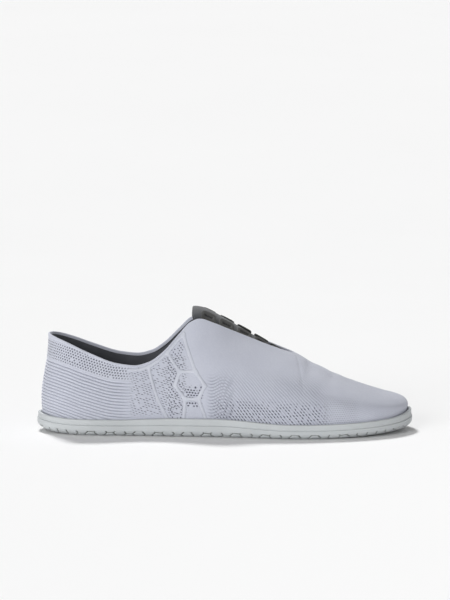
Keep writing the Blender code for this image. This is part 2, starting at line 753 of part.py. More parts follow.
# Lace tabs: a strip under the knit along the throat's edge, with rounded tabs that reach out
# over the tongue, each with a slot for the lace
TabRow = namedtuple("TabRow", "reach narrow")
TAB_ROWS = [
    TabRow(-0.50, 1.00),
    TabRow(-0.04, 1.00),
    TabRow(0.42, 1.00),
    TabRow(0.68, 1.00),
    TabRow(0.88, 0.86),
    TabRow(1.00, 0.50),
]
SLOT_ROW = 2


def lace_tabs(name, side):
    depth = KNIT_WALL + TAB_GAP
    gap_share = (TABS_FRONT - TABS_TOP) / (TAB_COUNT - 1)
    half = TAB_WIDTH / 2 / (THROAT_FRONT - THROAT_TOP) * (VAMP_POINT - THROAT_CORNER) * THROAT_SLANT
    columns = []
    for k in range(TAB_COUNT):
        middle = TABS_TOP + k * gap_share
        columns += [(middle, q * half) for q in (-1.0, -SLOT_SHARE, SLOT_SHARE, 1.0)]
    verts = []
    for row in TAB_ROWS:
        for middle, aside in columns:
            share = middle + aside * row.narrow
            _, width = bridge(share, depth)
            offset = width / 2 - row.reach * TAB_REACH
            verts.append(instep(share, side * offset, depth))
    faces = []
    count = len(columns)
    for r in range(len(TAB_ROWS) - 1):
        for c in range(count - 1):
            between = c % 4 == 3
            slot = c % 4 == 1 and r == SLOT_ROW
            if slot or (between and r > 0):
                continue
            face = [r * count + c, (r + 1) * count + c, (r + 1) * count + c + 1, r * count + c + 1]
            faces.append(face if side == MEDIAL else face[::-1])
    return make_object(name, verts, faces, WEBBING, LACE_TAB)


# Cage: smooth film strips on the knit that branch like a hexagon net from the rim upwards, and
# a trim that runs along the collar. A place is a share of the length from the heel, and a height
# up the knit from the rim as a share of the instep's height. The trim's height is its own.
CageNode = namedtuple("CageNode", "along up")
CAGE_NODES = {
    "foot_front": CageNode(0.450, 0.012),
    "foot_middle": CageNode(0.393, 0.012),
    "foot_back": CageNode(0.350, 0.012),
    "low_front": CageNode(0.434, 0.167),
    "low_back": CageNode(0.400, 0.167),
    "mid_front": CageNode(0.454, 0.286),
    "mid_back": CageNode(0.380, 0.286),
    "high_front": CageNode(0.436, 0.411),
    "high_back": CageNode(0.398, 0.411),
    "join_back": CageNode(0.330, 0.155),
}
TRIM_PLACES = {
    "trim_dip": 0.250,
    "trim_low": 0.279,
    "trim_join": 0.311,
    "trim_middle": 0.343,
    "trim_back": 0.371,
    "trim_high": 0.396,
    "trim_top": 0.418,
}
CAGE_BARS = [
    ("foot_front", "low_front"),
    ("foot_middle", "low_back"),
    ("low_front", "low_back"),
    ("low_front", "mid_front"),
    ("low_back", "mid_back"),
    ("mid_front", "high_front"),
    ("mid_back", "high_back"),
    ("high_front", "high_back"),
    ("foot_back", "join_back"),
    ("join_back", "trim_join"),
    ("high_back", "trim_back"),
    ("high_front", "trim_top"),
]


def knit_place(side):
    """Turns a distance from the heel and a distance up the knit into a side, share and up."""
    shares = np.linspace(0.0, 1.0, CAGE_READINGS + 1)
    feet = [rim_point(side, s)[0][0] for s in shares]

    def find(point):
        share = float(np.interp(point[0], feet, shares))
        lengths, ups = section_run(side, share)
        return share, float(np.interp(point[1], lengths, ups)), lengths[-1]

    return find


def cage(name, side):
    find = knit_place(side)
    places = {key: (n.along * LENGTH, n.up * INSTEP_HEIGHT) for key, n in CAGE_NODES.items()}
    for key, along in TRIM_PLACES.items():
        places[key] = (along * LENGTH, find((along * LENGTH, 0.0))[2] - TRIM_BELOW)
    names, trim = list(places), list(TRIM_PLACES)
    bars = CAGE_BARS + list(zip(trim, trim[1:]))
    bars = [(names.index(a), names.index(b)) for a, b in bars]

    # The medial side's plane is mirrored, so that its faces turn outwards too
    def place(point, level):
        share, up, _ = find((-side * point[0], point[1]))
        return under_skin(side, share, up, -(GAP + level * CAGE_FILM))

    nodes = [(-side * x, height) for x, height in places.values()]
    return thick_network(name, nodes, bars, CAGE_WIDTH, CAGE_STEPS, place, FILM)


for old in list(bpy.data.objects):
    bpy.data.objects.remove(old, do_unlink=True)
PARTS = bpy.data.collections.new("barefoot_shoe")
CUTTERS = bpy.data.collections.new("cutters")
CENTRE = sole_centre()
bpy.context.scene.collection.children.link(PARTS)
bpy.context.scene.collection.children.link(CUTTERS)
RUBBER = make_material("rubber_grey", (0.46, 0.49, 0.50), 0.55)
KNIT = make_material("knit_lavender_grey", (0.52, 0.54, 0.60), 0.85)
FILM = make_material("film_pale_grey", (0.58, 0.60, 0.66), 0.45)
LINING = make_material("lining_dark_grey", (0.05, 0.05, 0.055), 0.90)
WEBBING = make_material("webbing_dark_grey", (0.07, 0.07, 0.075), 0.80)

cut(outsole(), tread_grooves())
insole()
upper()
tongue()
lace_tabs("lace_tabs_lateral", LATERAL)
lace_tabs("lace_tabs_medial", MEDIAL)
cage("cage_lateral", LATERAL)
cage("cage_medial", MEDIAL)
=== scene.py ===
"""Barefoot shoe for the right foot, standing empty on its sole.

The toe points along +X, the outer side of the foot is -Y and the sole stands on z = 0. Places
are worked out from the back of the heel and moved to the frame's origin when a mesh is made.
"""
from collections import namedtuple

import bmesh
import bpy
import numpy as np
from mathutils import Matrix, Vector


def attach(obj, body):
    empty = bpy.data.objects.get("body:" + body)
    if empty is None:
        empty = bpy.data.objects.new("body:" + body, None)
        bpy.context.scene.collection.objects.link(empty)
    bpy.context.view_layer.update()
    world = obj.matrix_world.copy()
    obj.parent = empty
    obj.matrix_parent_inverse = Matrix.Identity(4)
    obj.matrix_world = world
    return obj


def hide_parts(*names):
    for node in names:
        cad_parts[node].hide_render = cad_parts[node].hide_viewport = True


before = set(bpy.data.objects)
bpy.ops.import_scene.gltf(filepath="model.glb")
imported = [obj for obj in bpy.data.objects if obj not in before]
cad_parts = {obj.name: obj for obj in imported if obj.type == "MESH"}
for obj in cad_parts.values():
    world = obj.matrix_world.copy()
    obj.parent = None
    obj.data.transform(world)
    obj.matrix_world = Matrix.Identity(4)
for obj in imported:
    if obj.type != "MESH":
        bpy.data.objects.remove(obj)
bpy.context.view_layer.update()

# Outsole: one soft rubber moulding, a thin plate with a cup wall that the knit is glued into.
# A fine parting line splits the wall into a rim band and a lower band, and hexagon grooves run
# over the bottom and fold up round its edge.
LENGTH = 0.280
BALL_WIDTH = 0.106
WAIST_WIDTH = 0.080
HEEL_WIDTH = 0.074
TIP_OFFSET = 0.0050
# The frame's origin, measured from the back of the heel
ORIGIN = np.array([0.1400004, -0.00307466, 0.0])
PLATE = 0.0045
CUP_WALL = 0.0034
TOE_SPRING = 0.0035
TOE_SPRING_START = 0.70
HEEL_LIFT = 0.0025
HEEL_LIFT_END = 0.13
EDGE_ROUND = 0.0070
EDGE_RISE = 0.62
EDGE_ROWS = 27
LINE_WIDTH = 0.0009
BAND_STEP = 0.0006
GAP = 0.0003
TREAD_SIDE = 4.7
TREAD_LINE = 0.8
TREAD_TOP = 8.4
TREAD_HALF = 0.75
TREAD_DEPTH = 0.9
RIM_CROWN = 0.60
NORMAL_STEP = 0.004
MM = 1000.0
# Turns at which the throat's corner and its front end lie
THROAT_CORNER = 0.442
VAMP_POINT = 0.660

# By width: shares of the way from heel to tip, and reach aside as a share of that width
LATERAL_EDGE = {
    HEEL_WIDTH: [(0.035, 0.300), (0.110, 0.460), (0.210, 0.505)],
    WAIST_WIDTH: [(0.340, 0.515), (0.460, 0.565)],
    BALL_WIDTH: [(0.570, 0.475), (0.660, 0.522), (0.735, 0.527), (0.820, 0.487), (0.900, 0.395),
                 (0.965, 0.235)],
}
MEDIAL_EDGE = {
    HEEL_WIDTH: [(0.035, 0.300), (0.110, 0.460), (0.210, 0.490)],
    WAIST_WIDTH: [(0.340, 0.420), (0.460, 0.395)],
    BALL_WIDTH: [(0.570, 0.355), (0.660, 0.420), (0.740, 0.467), (0.830, 0.460), (0.910, 0.400),
                 (0.970, 0.285)],
}

# Height of the rim and of the parting line above the bottom
SideStep = namedtuple("SideStep", "along rim line")
SOLE_SIDE = [
    SideStep(0.00, 0.0120, 0.0078), SideStep(0.24, 0.0120, 0.0078),
    SideStep(0.37, 0.0136, 0.0086), SideStep(0.46, 0.0136, 0.0086),
    SideStep(0.62, 0.0106, 0.0063), SideStep(0.86, 0.0106, 0.0063),
    SideStep(1.00, 0.0130, 0.0078),
]

# Insets as shares of BAND_STEP, and rises from the parting line as shares of LINE_WIDTH
BandRow = namedtuple("BandRow", "inset rise")
BAND_ROWS = [
    BandRow(0.00, -0.75), BandRow(0.08, -0.50), BandRow(0.45, -0.32), BandRow(1.35, -0.18),
    BandRow(1.65, 0.0), BandRow(1.45, 0.16), BandRow(0.90, 0.32), BandRow(0.82, 0.55),
    BandRow(0.95, 1.0),
]


def mix(start, end, share):
    return start + (end - start) * share


def ease(low, high, value):
    """Rises smoothly from 0 to 1 between two values."""
    t = np.clip((value - low) / (high - low), 0.0, 1.0)
    return t * t * (3 - 2 * t)


def stacked(*values):
    """Vectors from their numbers, where a plain number counts for all of them."""
    return np.stack(np.broadcast_arrays(*values), axis=-1)


def unit(vectors):
    return vectors / np.maximum(np.linalg.norm(vectors, axis=-1, keepdims=True), 1e-12)


def run_along(points):
    """Lengths from the first row of points to each row."""
    step = np.linalg.norm(np.diff(points, axis=0), axis=-1)
    return np.concatenate([0 * step[:1], np.cumsum(step, axis=0)])


def smooth_step(t, h, start, end, slope, end_slope):
    """A curve between two values with their slopes, where t goes from 0 to 1 over h."""
    return ((2 * t**3 - 3 * t**2 + 1) * start + (t**3 - 2 * t**2 + t) * h * slope
            + (3 * t**2 - 2 * t**3) * end + (t**3 - t**2) * h * end_slope)


def closed_spline(points, count):
    """Even samples of the smooth closed curve through the points."""
    number = len(points)
    ahead = np.roll(points, -1, axis=0) - points
    after = np.linalg.norm(ahead, axis=1, keepdims=True)
    before = np.roll(after, 1, axis=0)
    same = np.eye(number)
    matrix = (2 * (before + after) * same + after * np.roll(same, -1, axis=1)
              + before * np.roll(same, 1, axis=1))
    right = 3 * (after / before * np.roll(ahead, 1, axis=0) + before / after * ahead)
    slope = np.linalg.solve(matrix, right)
    start = np.concatenate([[0.0], np.cumsum(after)])
    place = np.linspace(0.0, start[-1], count, endpoint=False)
    k = np.searchsorted(start, place, side="right") - 1
    k1 = (k + 1) % number
    h = after[k]
    return smooth_step((place - start[k])[:, None] / h, h, points[k], points[k1], slope[k],
                       slope[k1])


def outline_by_turn():
    """The outline from the toe's tip along the medial side to the heel (turn 0) and along the
    lateral side back to the tip, with its turn from -1 to 1."""
    lateral, medial = [[(share * LENGTH, side * reach * width)
                        for width, places in edge.items() for share, reach in places]
                       for edge, side in ((LATERAL_EDGE, -1), (MEDIAL_EDGE, 1))]
    knots = np.array([(0.0, 0.0), *lateral, (LENGTH, TIP_OFFSET), *medial[::-1]])
    loop = closed_spline(knots, 6400)
    front = int(np.argmax(loop[:, 0]))
    sides = []
    for side in (np.vstack([loop[front:], loop[:1]]), loop[:front + 1]):
        run = run_along(side)
        sides.append((side, run / run[-1], run[-1]))
    (back, back_share, back_length), (out, out_share, out_length) = sides
    points = np.vstack([back[:-1], out])
    turns = np.concatenate([back_share[:-1] - 1.0, out_share])
    return points, turns, {-1: out_length, 1: back_length}


OUTLINE, OUTLINE_TURN, SIDE_LENGTH = outline_by_turn()


def edge_points(turn, inset=0.0):
    """Points of the outline moved inwards, and the directions outwards, seen from above."""
    def at(place):
        place = np.where(place > 1.0, place - 2.0, np.where(place < -1.0, place + 2.0, place))
        return stacked(*[np.interp(place, OUTLINE_TURN, number) for number in OUTLINE.T])

    run = at(turn + NORMAL_STEP) - at(turn - NORMAL_STEP)
    out = unit(stacked(run[..., 1], -run[..., 0]))
    return at(turn) - out * np.asarray(inset)[..., None], out


def read_column(rows, column, share, odd=False):
    """Smooth reading of one column of a table, without overshoot between its rows."""
    sign = -1.0 if odd else 1.0
    place = np.array([2 * rows[0].along - rows[1].along] + [r.along for r in rows]
                     + [2 * rows[-1].along - rows[-2].along])
    value = [getattr(r, column) for r in rows]
    value = np.array([sign * value[1]] + value + [sign * value[-2]])
    rate = np.diff(value) / np.diff(place)
    slope = np.zeros(len(value))
    same = rate[:-1] * rate[1:] > 0
    both = np.where(same, rate[:-1] + rate[1:], 1.0)
    slope[1:-1] = np.where(same, 2 * rate[:-1] * rate[1:] / both, 0.0)
    k = np.clip(np.searchsorted(place, share, side="right") - 1, 1, len(rows) - 1)
    h = place[k + 1] - place[k]
    t = (share - place[k]) / h
    return smooth_step(t, h, value[k], value[k + 1], slope[k], slope[k + 1])


def bottom(x):
    """Height of the sole's bottom: level from heel to ball, rising to the toe and the heel."""
    toe = np.clip(x / LENGTH - TOE_SPRING_START, 0.0, None) / (1 - TOE_SPRING_START)
    heel = np.clip(HEEL_LIFT_END - x / LENGTH, 0.0, None) / HEEL_LIFT_END
    return TOE_SPRING * toe**2 + HEEL_LIFT * heel**2


def above_bottom(place, height):
    """Points over places seen from above, at heights over the sole's bottom."""
    return stacked(place[..., 0], place[..., 1], bottom(place[..., 0]) + height)


def turns_around(heel, throat, toe):
    """Turns of the columns round the shoe, from the toe's tip by the medial side and the heel.
    They lie closer towards the throat's front."""
    shares = np.concatenate([
        np.linspace(0.0, THROAT_CORNER, heel + 1),
        mix(THROAT_CORNER, VAMP_POINT, 1 - np.linspace(1.0, 0.0, throat + 1)**1.7)[1:],
        mix(VAMP_POINT, 1.0, np.linspace(0.0, 1.0, toe + 1)**1.25)[1:],
    ]).round(9)
    return np.concatenate([-shares[::-1], shares[1:-1]])


def quads(grid):
    """Quads of a grid of point numbers, facing out for rows going up."""
    corners = [grid[:-1, :-1], grid[:-1, 1:], grid[1:, 1:], grid[1:, :-1]]
    return np.stack(corners, axis=-1).reshape(-1, 4)


def ring_faces(rows, count, first=0):
    """Quads between closed rings of points."""
    grid = first + np.arange(rows * count).reshape(rows, count)
    return quads(np.column_stack([grid, grid[:, :1]]))


def sheet_faces(rows, count, first=0):
    """Quads of an open grid of points."""
    return quads(first + np.arange(rows * count).reshape(rows, count))


def opposite(count):
    """For each point of a ring, the number of the point across from it on the other side."""
    return -np.arange(count) % count


def grid_normals(points, closed=True):
    """Unit normals of a grid of points, whose columns may close into rings."""
    if closed:
        run = np.roll(points, -1, axis=1) - np.roll(points, 1, axis=1)
    else:
        run = np.gradient(points, axis=1)
    return unit(np.cross(run, np.gradient(points, axis=0)))


class Link:
    """An output socket of a material's nodes, on which shader maths is written as sums."""

    def __init__(self, tree, socket=None):
        self.tree = tree
        self.socket = socket

    def node(self, kind, settings=None, values=None, output=0):
        made = self.tree.nodes.new(kind)
        for name, setting in (settings or {}).items():
            setattr(made, name, setting)
        for name, value in (values or {}).items():
            if isinstance(value, Link):
                self.tree.links.new(value.socket, made.inputs[name])
            else:
                made.inputs[name].default_value = value
        return Link(self.tree, made.outputs[output])

    def maths(self, operation, *others):
        return self.node("ShaderNodeMath", {"operation": operation},
                         dict(enumerate((self, *others))))

    def __add__(self, other):
        return self.maths("ADD", other)

    __radd__ = __add__

    def __sub__(self, other):
        return self.maths("SUBTRACT", other)

    def __rsub__(self, other):
        return self * -1.0 + other

    def __mul__(self, other):
        return self.maths("MULTIPLY", other)

    def __truediv__(self, other):
        return self.maths("DIVIDE", other)

    def __abs__(self):
        return self.maths("ABSOLUTE")

    def __or__(self, other):
        """The stronger of two marks."""
        return self.maths("MAXIMUM", other)

    def wrap(self, pitch):
        """Distance from the middle of the repeat that a value lies in."""
        return self.maths("WRAP", pitch / 2, -pitch / 2)

    def ease(self, low, high):
        """Rises smoothly from 0 to 1 between two values."""
        return self.node("ShaderNodeMapRange", {"interpolation_type": "SMOOTHSTEP"},
                         {"Value": self, "From Min": low, "From Max": high})

    def within(self, low, high, soft):
        """1 between two values, and 0 outside them."""
        return self.ease(low - soft, low + soft) * (1 - self.ease(high - soft, high + soft))

    def parts(self):
        """The three numbers of a vector."""
        split = self.node("ShaderNodeSeparateXYZ", None, {"Vector": self})
        return [Link(self.tree, s) for s in split.socket.node.outputs]

    def marks(self, name):
        """The three numbers that the mesh keeps on its points under a name."""
        return self.node("ShaderNodeAttribute", {"attribute_name": name}, None, "Vector").parts()

    def tint(self, start, end):
        """A colour that goes from start to end as this mask goes from 0 to 1. The numbers are
        those of the node's colour sockets."""
        return self.node("ShaderNodeMix", {"data_type": "RGBA"},
                         {"Factor": self, 6: start, 7: end}, output=2)

    def noise(self, scale, detail=2.0):
        """Cloudy noise of about 0 to 1 over a place in millimetres."""
        return self.node("ShaderNodeTexNoise", {"noise_dimensions": "3D"},
                         {"Vector": self, "Scale": scale, "Detail": detail})


def colour(red, green, blue):
    """A colour given as it shows on a screen, from 0 to 255."""
    screen = np.array([red, green, blue]) / 255.0
    plain = np.where(screen <= 0.04045, screen / 12.92, ((screen + 0.055) / 1.055)**2.4)
    return (*plain.tolist(), 1.0)


def begin_finish(name, **constants):
    """A new material with its shader's constant values, and the place on the shoe in
    millimetres, from which its nodes start."""
    made = bpy.data.materials.new(name)
    made.use_nodes = True
    shader = made.node_tree.nodes["Principled BSDF"]
    for socket, value in constants.items():
        shader.inputs[socket.replace("_", " ")].default_value = value
    metres = Link(made.node_tree).node("ShaderNodeTexCoord", output="Object")
    place = metres.node("ShaderNodeVectorMath", {"operation": "SCALE"},
                        {0: metres, "Scale": MM})
    return made, place


def end_finish(made, base, roughness, relief):
    """Feeds the shader: base colour, roughness and a relief in millimetres."""
    shader = made.node_tree.nodes["Principled BSDF"]
    links = made.node_tree.links
    links.new(base.socket, shader.inputs["Base Color"])
    if isinstance(roughness, Link):
        links.new(roughness.socket, shader.inputs["Roughness"])
    else:
        shader.inputs["Roughness"].default_value = roughness
    bump = relief.node("ShaderNodeBump", None, {"Height": relief, "Distance": 1 / MM})
    links.new(bump.socket, shader.inputs["Normal"])
    return made


def add_object(name, data):
    """An object in the scene, made of a mesh, a lamp or a camera."""
    made = bpy.data.objects.new(name, data)
    bpy.context.scene.collection.objects.link(made)
    return made


def make_piece(name, shape, finish, nodes=(), merge=0.0):
    """A piece of the shoe that rides on the one body and stands for the nodes. Its shape is its
    points, its faces and the marks that are kept on its points."""
    verts, faces, marks = shape
    mesh = bpy.data.meshes.new(name)
    mesh.from_pydata((verts.reshape(-1, 3) - ORIGIN).tolist(), [], faces.tolist())
    for key, values in marks.items():
        layer = mesh.attributes.new(key, "FLOAT_VECTOR", "POINT")
        layer.data.foreach_set("vector", np.ascontiguousarray(values, np.float32).ravel())
    if merge:
        form = bmesh.new()
        form.from_mesh(mesh)
        bmesh.ops.remove_doubles(form, verts=form.verts, dist=merge)
        form.to_mesh(mesh)
        form.free()
    mesh.shade_smooth()
    mesh.materials.append(finish)
    piece = add_object(name, mesh)
    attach(piece, "root")
    for node in nodes:
        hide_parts(node)
    return piece


def hexagon_gap(along, across, wrap, larger, smaller):
    """Distance in millimetres to the nearest line of a net of hexagons with flats along X, for
    plain numbers or for a material's links."""
    across_flats = np.sqrt(3) * TREAD_SIDE
    reach = []
    for shift in (0.0, 0.5):
        a = abs(wrap(along + 3 * TREAD_SIDE * shift, 3 * TREAD_SIDE))
        b = abs(wrap(across + across_flats * shift, across_flats))
        reach.append(larger(b, a * (np.sqrt(3) / 2) + b * 0.5))
    return across_flats / 2 - smaller(*reach)


def outsole():
    """The moulding's points, faces and marks: its place on the flat tread, and the run from the
    bottom's flat part."""
    turn = turns_around(300, 148, 230)
    count = len(turn)
    rim = read_column(SOLE_SIDE, "rim", abs(turn))
    line = read_column(SOLE_SIDE, "line", abs(turn))
    rows = [(EDGE_ROUND * (1 - np.sin(a)), EDGE_RISE * line * (1 - np.cos(a)))
            for a in np.linspace(0.0, np.pi / 2, EDGE_ROWS)]
    rows += [(0.0, mix(EDGE_RISE * line, line - LINE_WIDTH, k)) for k in (0.3, 0.6, 0.85)]
    rows += [(row.inset * BAND_STEP, line + row.rise * LINE_WIDTH) for row in BAND_ROWS]
    rows += [(1.05 * BAND_STEP, mix(rim, line, 0.75)), (1.15 * BAND_STEP, mix(rim, line, 0.50))]
    middle = RIM_CROWN * CUP_WALL
    for a in np.linspace(0.0, np.pi, 9):
        reach = (CUP_WALL - middle) * (1.05 if a < 1.5 else 1.0)
        rows.append((middle - reach * np.cos(a), rim + 0.24 * CUP_WALL * (np.sin(a) - 1.0)))
    rows += [(CUP_WALL, rim - 0.45 * CUP_WALL), (CUP_WALL, PLATE)]
    profile = np.array([stacked(inset, height, line)[:, :2] for inset, height in rows])
    place, _ = edge_points(turn, profile[..., 0])
    flat = above_bottom(place, profile[..., 1])
    run = run_along(profile)[..., None]
    start, out = edge_points(turn, EDGE_ROUND)
    tread = np.concatenate([start + out * run, run], axis=-1) * MM
    gap = hexagon_gap(tread[..., 0], tread[..., 1],
                      lambda value, pitch: (value + pitch / 2) % pitch - pitch / 2,
                      np.maximum, np.minimum)
    dent = np.clip(1 - gap / TREAD_HALF, 0.0, 1.0) * TREAD_DEPTH / MM
    dent *= 1 - ease(TREAD_TOP - 1.0, TREAD_TOP, tread[..., 2])
    dent[EDGE_ROWS:] = 0.0
    verts = flat - grid_normals(flat) * dent[..., None]
    near = np.arange(count // 2 + 1)
    far = opposite(count)[near]
    across = np.linspace(0.0, 1.0, 21)[1:-1, None, None]
    fill = mix(verts[0][near], verts[0][far], across)
    fill[..., 2] = bottom(fill[..., 0])
    between = verts.size // 3 + np.arange(fill.size // 3).reshape(fill.shape[:2])
    plate_top = (len(rows) - 1) * count + np.vstack([near, far])
    faces = np.vstack([ring_faces(len(rows), count), quads(np.vstack([near, between, far]).T),
                       quads(plate_top)])
    verts = np.vstack([verts.reshape(-1, 3), fill.reshape(-1, 3)])
    tread = np.vstack([tread.reshape(-1, 3), fill.reshape(-1, 3) * (MM, MM, 0.0)])
    return verts, faces, {"tread": tread}


def rubber_finish():
    made, place = begin_finish("soft_grey_rubber", IOR=1.5)
    along, across, past = place.marks("tread")
    gap = hexagon_gap(along, across, Link.wrap, Link.__or__,
                      lambda one, two: one.maths("MINIMUM", two))
    # The tread's grooves: they are sunk by the relief, and their darker colour is painted shade in
    # the recesses.
    shaded_groove = 1 - gap.ease(TREAD_LINE * 0.28, TREAD_LINE * 0.62)
    shaded_groove = shaded_groove * (1 - past.ease(TREAD_TOP - 0.8, TREAD_TOP))
    cloud = place.noise(0.035, 3.0)
    grain = place.noise(1.6, 2.0)
    base = cloud.ease(0.3, 0.7).tint(colour(185, 189, 191), colour(192, 196, 198))
    # Painted shade: the rubber is darkened in the tread's grooves.
    base = (shaded_groove * 0.80).tint(base, colour(96, 100, 92))
    return end_finish(made, base, 0.52 + grain * 0.10, grain * 0.02 - shaded_groove * 0.35)


WELD = 1e-6
make_piece("outsole_rubber", outsole(), rubber_finish(), ["outsole"], WELD)


# Insole: a thin foam footbed under a dark knitted cover, laid in the cup and not glued. It is
# seen through the collar and the throat only.
INSOLE = 0.0030
KNIT_WALL = 0.0020
INSOLE_INSET = CUP_WALL + GAP + KNIT_WALL + 0.0006
FOOTBED_CUP = 0.0012
FOOTBED_EDGE = 0.0010


def cover_finish(name, dark, light, pitch):
    """Fine dark fabric of small knitted loops."""
    made, place = begin_finish(name, Sheen_Weight=0.25, Sheen_Roughness=0.5)
    x, y, z = place.parts()
    turns = 6.283 / pitch
    loops = (x * turns).maths("SINE") * ((y + z) * turns).maths("SINE")
    cloud = place.noise(0.08, 3.0)
    base = (cloud * 0.7 + loops * 0.2).ease(0.1, 0.8).tint(dark, light)
    return end_finish(made, base, 0.88, loops * 0.05 + place.noise(2.2) * 0.06)


def insole():
    """The footbed's points and faces: its top from side to side, and its edge."""
    turn = turns_around(90, 44, 70)
    count = len(turn)
    near = np.arange(count // 2 + 1)
    rim, _ = edge_points(turn, INSOLE_INSET)
    across = np.linspace(0.0, 1.0, 33)[:, None]
    aside = abs(2 * across - 1)
    crown = FOOTBED_CUP * aside**5 - FOOTBED_EDGE * ease(0.93, 1.0, aside)
    place = mix(rim[near], rim[opposite(count)[near]], across[..., None])
    top = above_bottom(place, PLATE + GAP + INSOLE + crown)
    verts = np.vstack([top.reshape(-1, 3), above_bottom(rim, PLATE + GAP), top[0],
                       top[-1][1:-1][::-1]])
    faces = np.vstack([sheet_faces(*top.shape[:2]), ring_faces(2, count, top.size // 3)])
    return verts, faces, {}


bed_finish = cover_finish("dark_footbed_knit", colour(66, 68, 72), colour(84, 86, 91), 1.1)
footbed = make_piece("footbed", insole(), bed_finish, ["insole"], WELD)


# Upper: one knitted sock-like shell, glued into the cup. Its wall is dense and smooth at the toe
# and over the instep, open-worked in diagonals at the forefoot and waist, and ribbed at the heel.
HEEL_HEIGHT = 0.0720
ANKLE_HEIGHTS = {-1: 0.0500, 1: 0.0540}
INSTEP_HEIGHT = 0.0840
VAMP_HEIGHT = 0.0570
TOE_HEIGHT = 0.0300
HEEL_SET_IN = 0.0085
COLLAR = 0.0570 / 2
THROAT = 0.0440 / 2
THROAT_TOP = 0.1215
THROAT_FRONT = 0.1930
RIDGE_FRONT = 0.2540
KNIT_BULGE = 0.0032
RIDGE_BLEND = 0.560
RIDGE_STEP = 0.010
BEND_START = 0.40
Section = namedtuple("Section", "along top_x spread top_z rise shoulder drop")


def sections(ankle):
    """Each section starts on the rim and ends at the collar, the throat or the toes' ridge."""
    def heel(along, x, spread, z, *shape):
        return Section(along, mix(HEEL_SET_IN, THROAT_TOP, x), spread * COLLAR, z, *shape)

    def throat(along, x, spread, z, *shape):
        return Section(along, mix(THROAT_TOP, THROAT_FRONT, x), spread * THROAT,
                       mix(INSTEP_HEIGHT, VAMP_HEIGHT, z), *shape)

    def ridge(along, x, z, *shape):
        return Section(along, mix(THROAT_FRONT, RIDGE_FRONT, x), 0.0,
                       mix(VAMP_HEIGHT, TOE_HEIGHT, z), *shape)

    def fall(z):
        return mix(HEEL_HEIGHT, ankle, z)

    def climb(z):
        return mix(ankle, INSTEP_HEIGHT, z)

    return [
        heel(0.000, 0.000, 0.000, fall(0.00), 0.39, -0.20, 0.35),
        heel(0.040, 0.012, 0.390, fall(0.02), 0.38, -0.10, 0.35),
        heel(0.080, 0.060, 0.690, fall(0.10), 0.37, 0.00, 0.35),
        heel(0.120, 0.145, 0.860, fall(0.27), 0.36, 0.10, 0.35),
        heel(0.170, 0.275, 0.965, fall(0.57), 0.37, 0.15, 0.36),
        heel(0.240, 0.465, 1.000, fall(0.93), 0.38, 0.20, 0.38),
        heel(0.280, 0.580, 1.000, ankle, 0.38, 0.25, 0.38),
        heel(0.320, 0.675, 0.980, climb(0.08), 0.37, 0.28, 0.37),
        heel(0.360, 0.770, 0.945, climb(0.31), 0.36, 0.32, 0.34),
        heel(0.400, 0.870, 0.870, climb(0.68), 0.37, 0.36, 0.30),
        heel(0.425, 0.942, 1.05 * THROAT / COLLAR, climb(0.93), 0.38, 0.38, 0.28),
        throat(THROAT_CORNER, 0.000, 1.00, 0.00, 0.39, 0.40, 0.27),
        throat(0.470, 0.140, 0.94, 0.11, 0.42, 0.44, 0.26),
        throat(0.500, 0.290, 0.87, 0.27, 0.46, 0.48, 0.24),
        throat(0.540, 0.480, 0.78, 0.47, 0.49, 0.52, 0.19),
        throat(0.580, 0.665, 0.69, 0.67, 0.51, 0.53, 0.14),
        throat(0.610, 0.805, 0.58, 0.81, 0.52, 0.53, 0.10),
        throat(0.635, 0.925, 0.40, 0.925, 0.53, 0.53, 0.05),
        throat(0.650, 0.980, 0.22, 0.98, 0.53, 0.53, 0.02),
        ridge(VAMP_POINT, 0.000, 0.000, 0.54, 0.53, 0.0),
        ridge(0.700, 0.140, 0.185, 0.56, 0.53, 0.0),
        ridge(0.750, 0.310, 0.385, 0.58, 0.53, 0.0),
        ridge(0.800, 0.475, 0.570, 0.60, 0.54, 0.0),
        ridge(0.850, 0.640, 0.730, 0.62, 0.55, 0.0),
        ridge(0.900, 0.800, 0.865, 0.64, 0.56, 0.0),
        ridge(0.950, 0.930, 0.960, 0.66, 0.56, 0.0),
        ridge(1.000, 1.000, 1.000, 0.68, 0.56, 0.0),
    ]


SECTIONS = {side: sections(ankle) for side, ankle in ANKLE_HEIGHTS.items()}


def last_column(turn, column, odd=False):
    """One column of the last's table, read on the side that each turn lies on."""
    share = abs(turn)
    lateral = read_column(SECTIONS[-1], column, share, odd)
    return np.where(turn >= 0, lateral, read_column(SECTIONS[1], column, share, odd))


def top_points(turn):
    """Where each section ends: on the collar, the throat's edge or the ridge over the toes."""
    x = last_column(turn, "top_x")
    spread = np.where(abs(turn) < VAMP_POINT, last_column(turn, "spread", odd=True), 0.0)
    middle = TIP_OFFSET * ease(BEND_START, 1.0, x / LENGTH)
    return stacked(x, middle - np.sign(turn) * spread, last_column(turn, "top_z"))


def section_levers(turn):
    """The four points that shape each section of the upper, from the rim to its top."""
    turn = np.asarray(turn, float)
    share = abs(turn)
    place, out = edge_points(turn, CUP_WALL + GAP)
    start = above_bottom(place, read_column(SOLE_SIDE, "rim", share))
    end = top_points(turn)
    height = end[..., 2] - start[..., 2]
    level = last_column(turn, "shoulder") * np.linalg.norm((end - start)[..., :2], axis=-1)
    side = np.where(turn >= 0, 1.0, -1.0)
    here = top_points(side * np.maximum(share - RIDGE_STEP, VAMP_POINT))
    ahead = top_points(side * np.minimum(np.maximum(share, VAMP_POINT) + RIDGE_STEP, 1.0))
    slope = (here[..., 2] - ahead[..., 2]) / (ahead[..., 0] - here[..., 0])
    fall = ease(RIDGE_BLEND, VAMP_POINT, share) * level * out[..., 0] * slope
    fall += last_column(turn, "drop") * height
    first = start.copy()
    first[..., :2] += out * KNIT_BULGE
    first[..., 2] += last_column(turn, "rise") * height
    second = end.copy()
    second[..., :2] += out * level[..., None]
    second[..., 2] -= fall
    return start, first, second, end


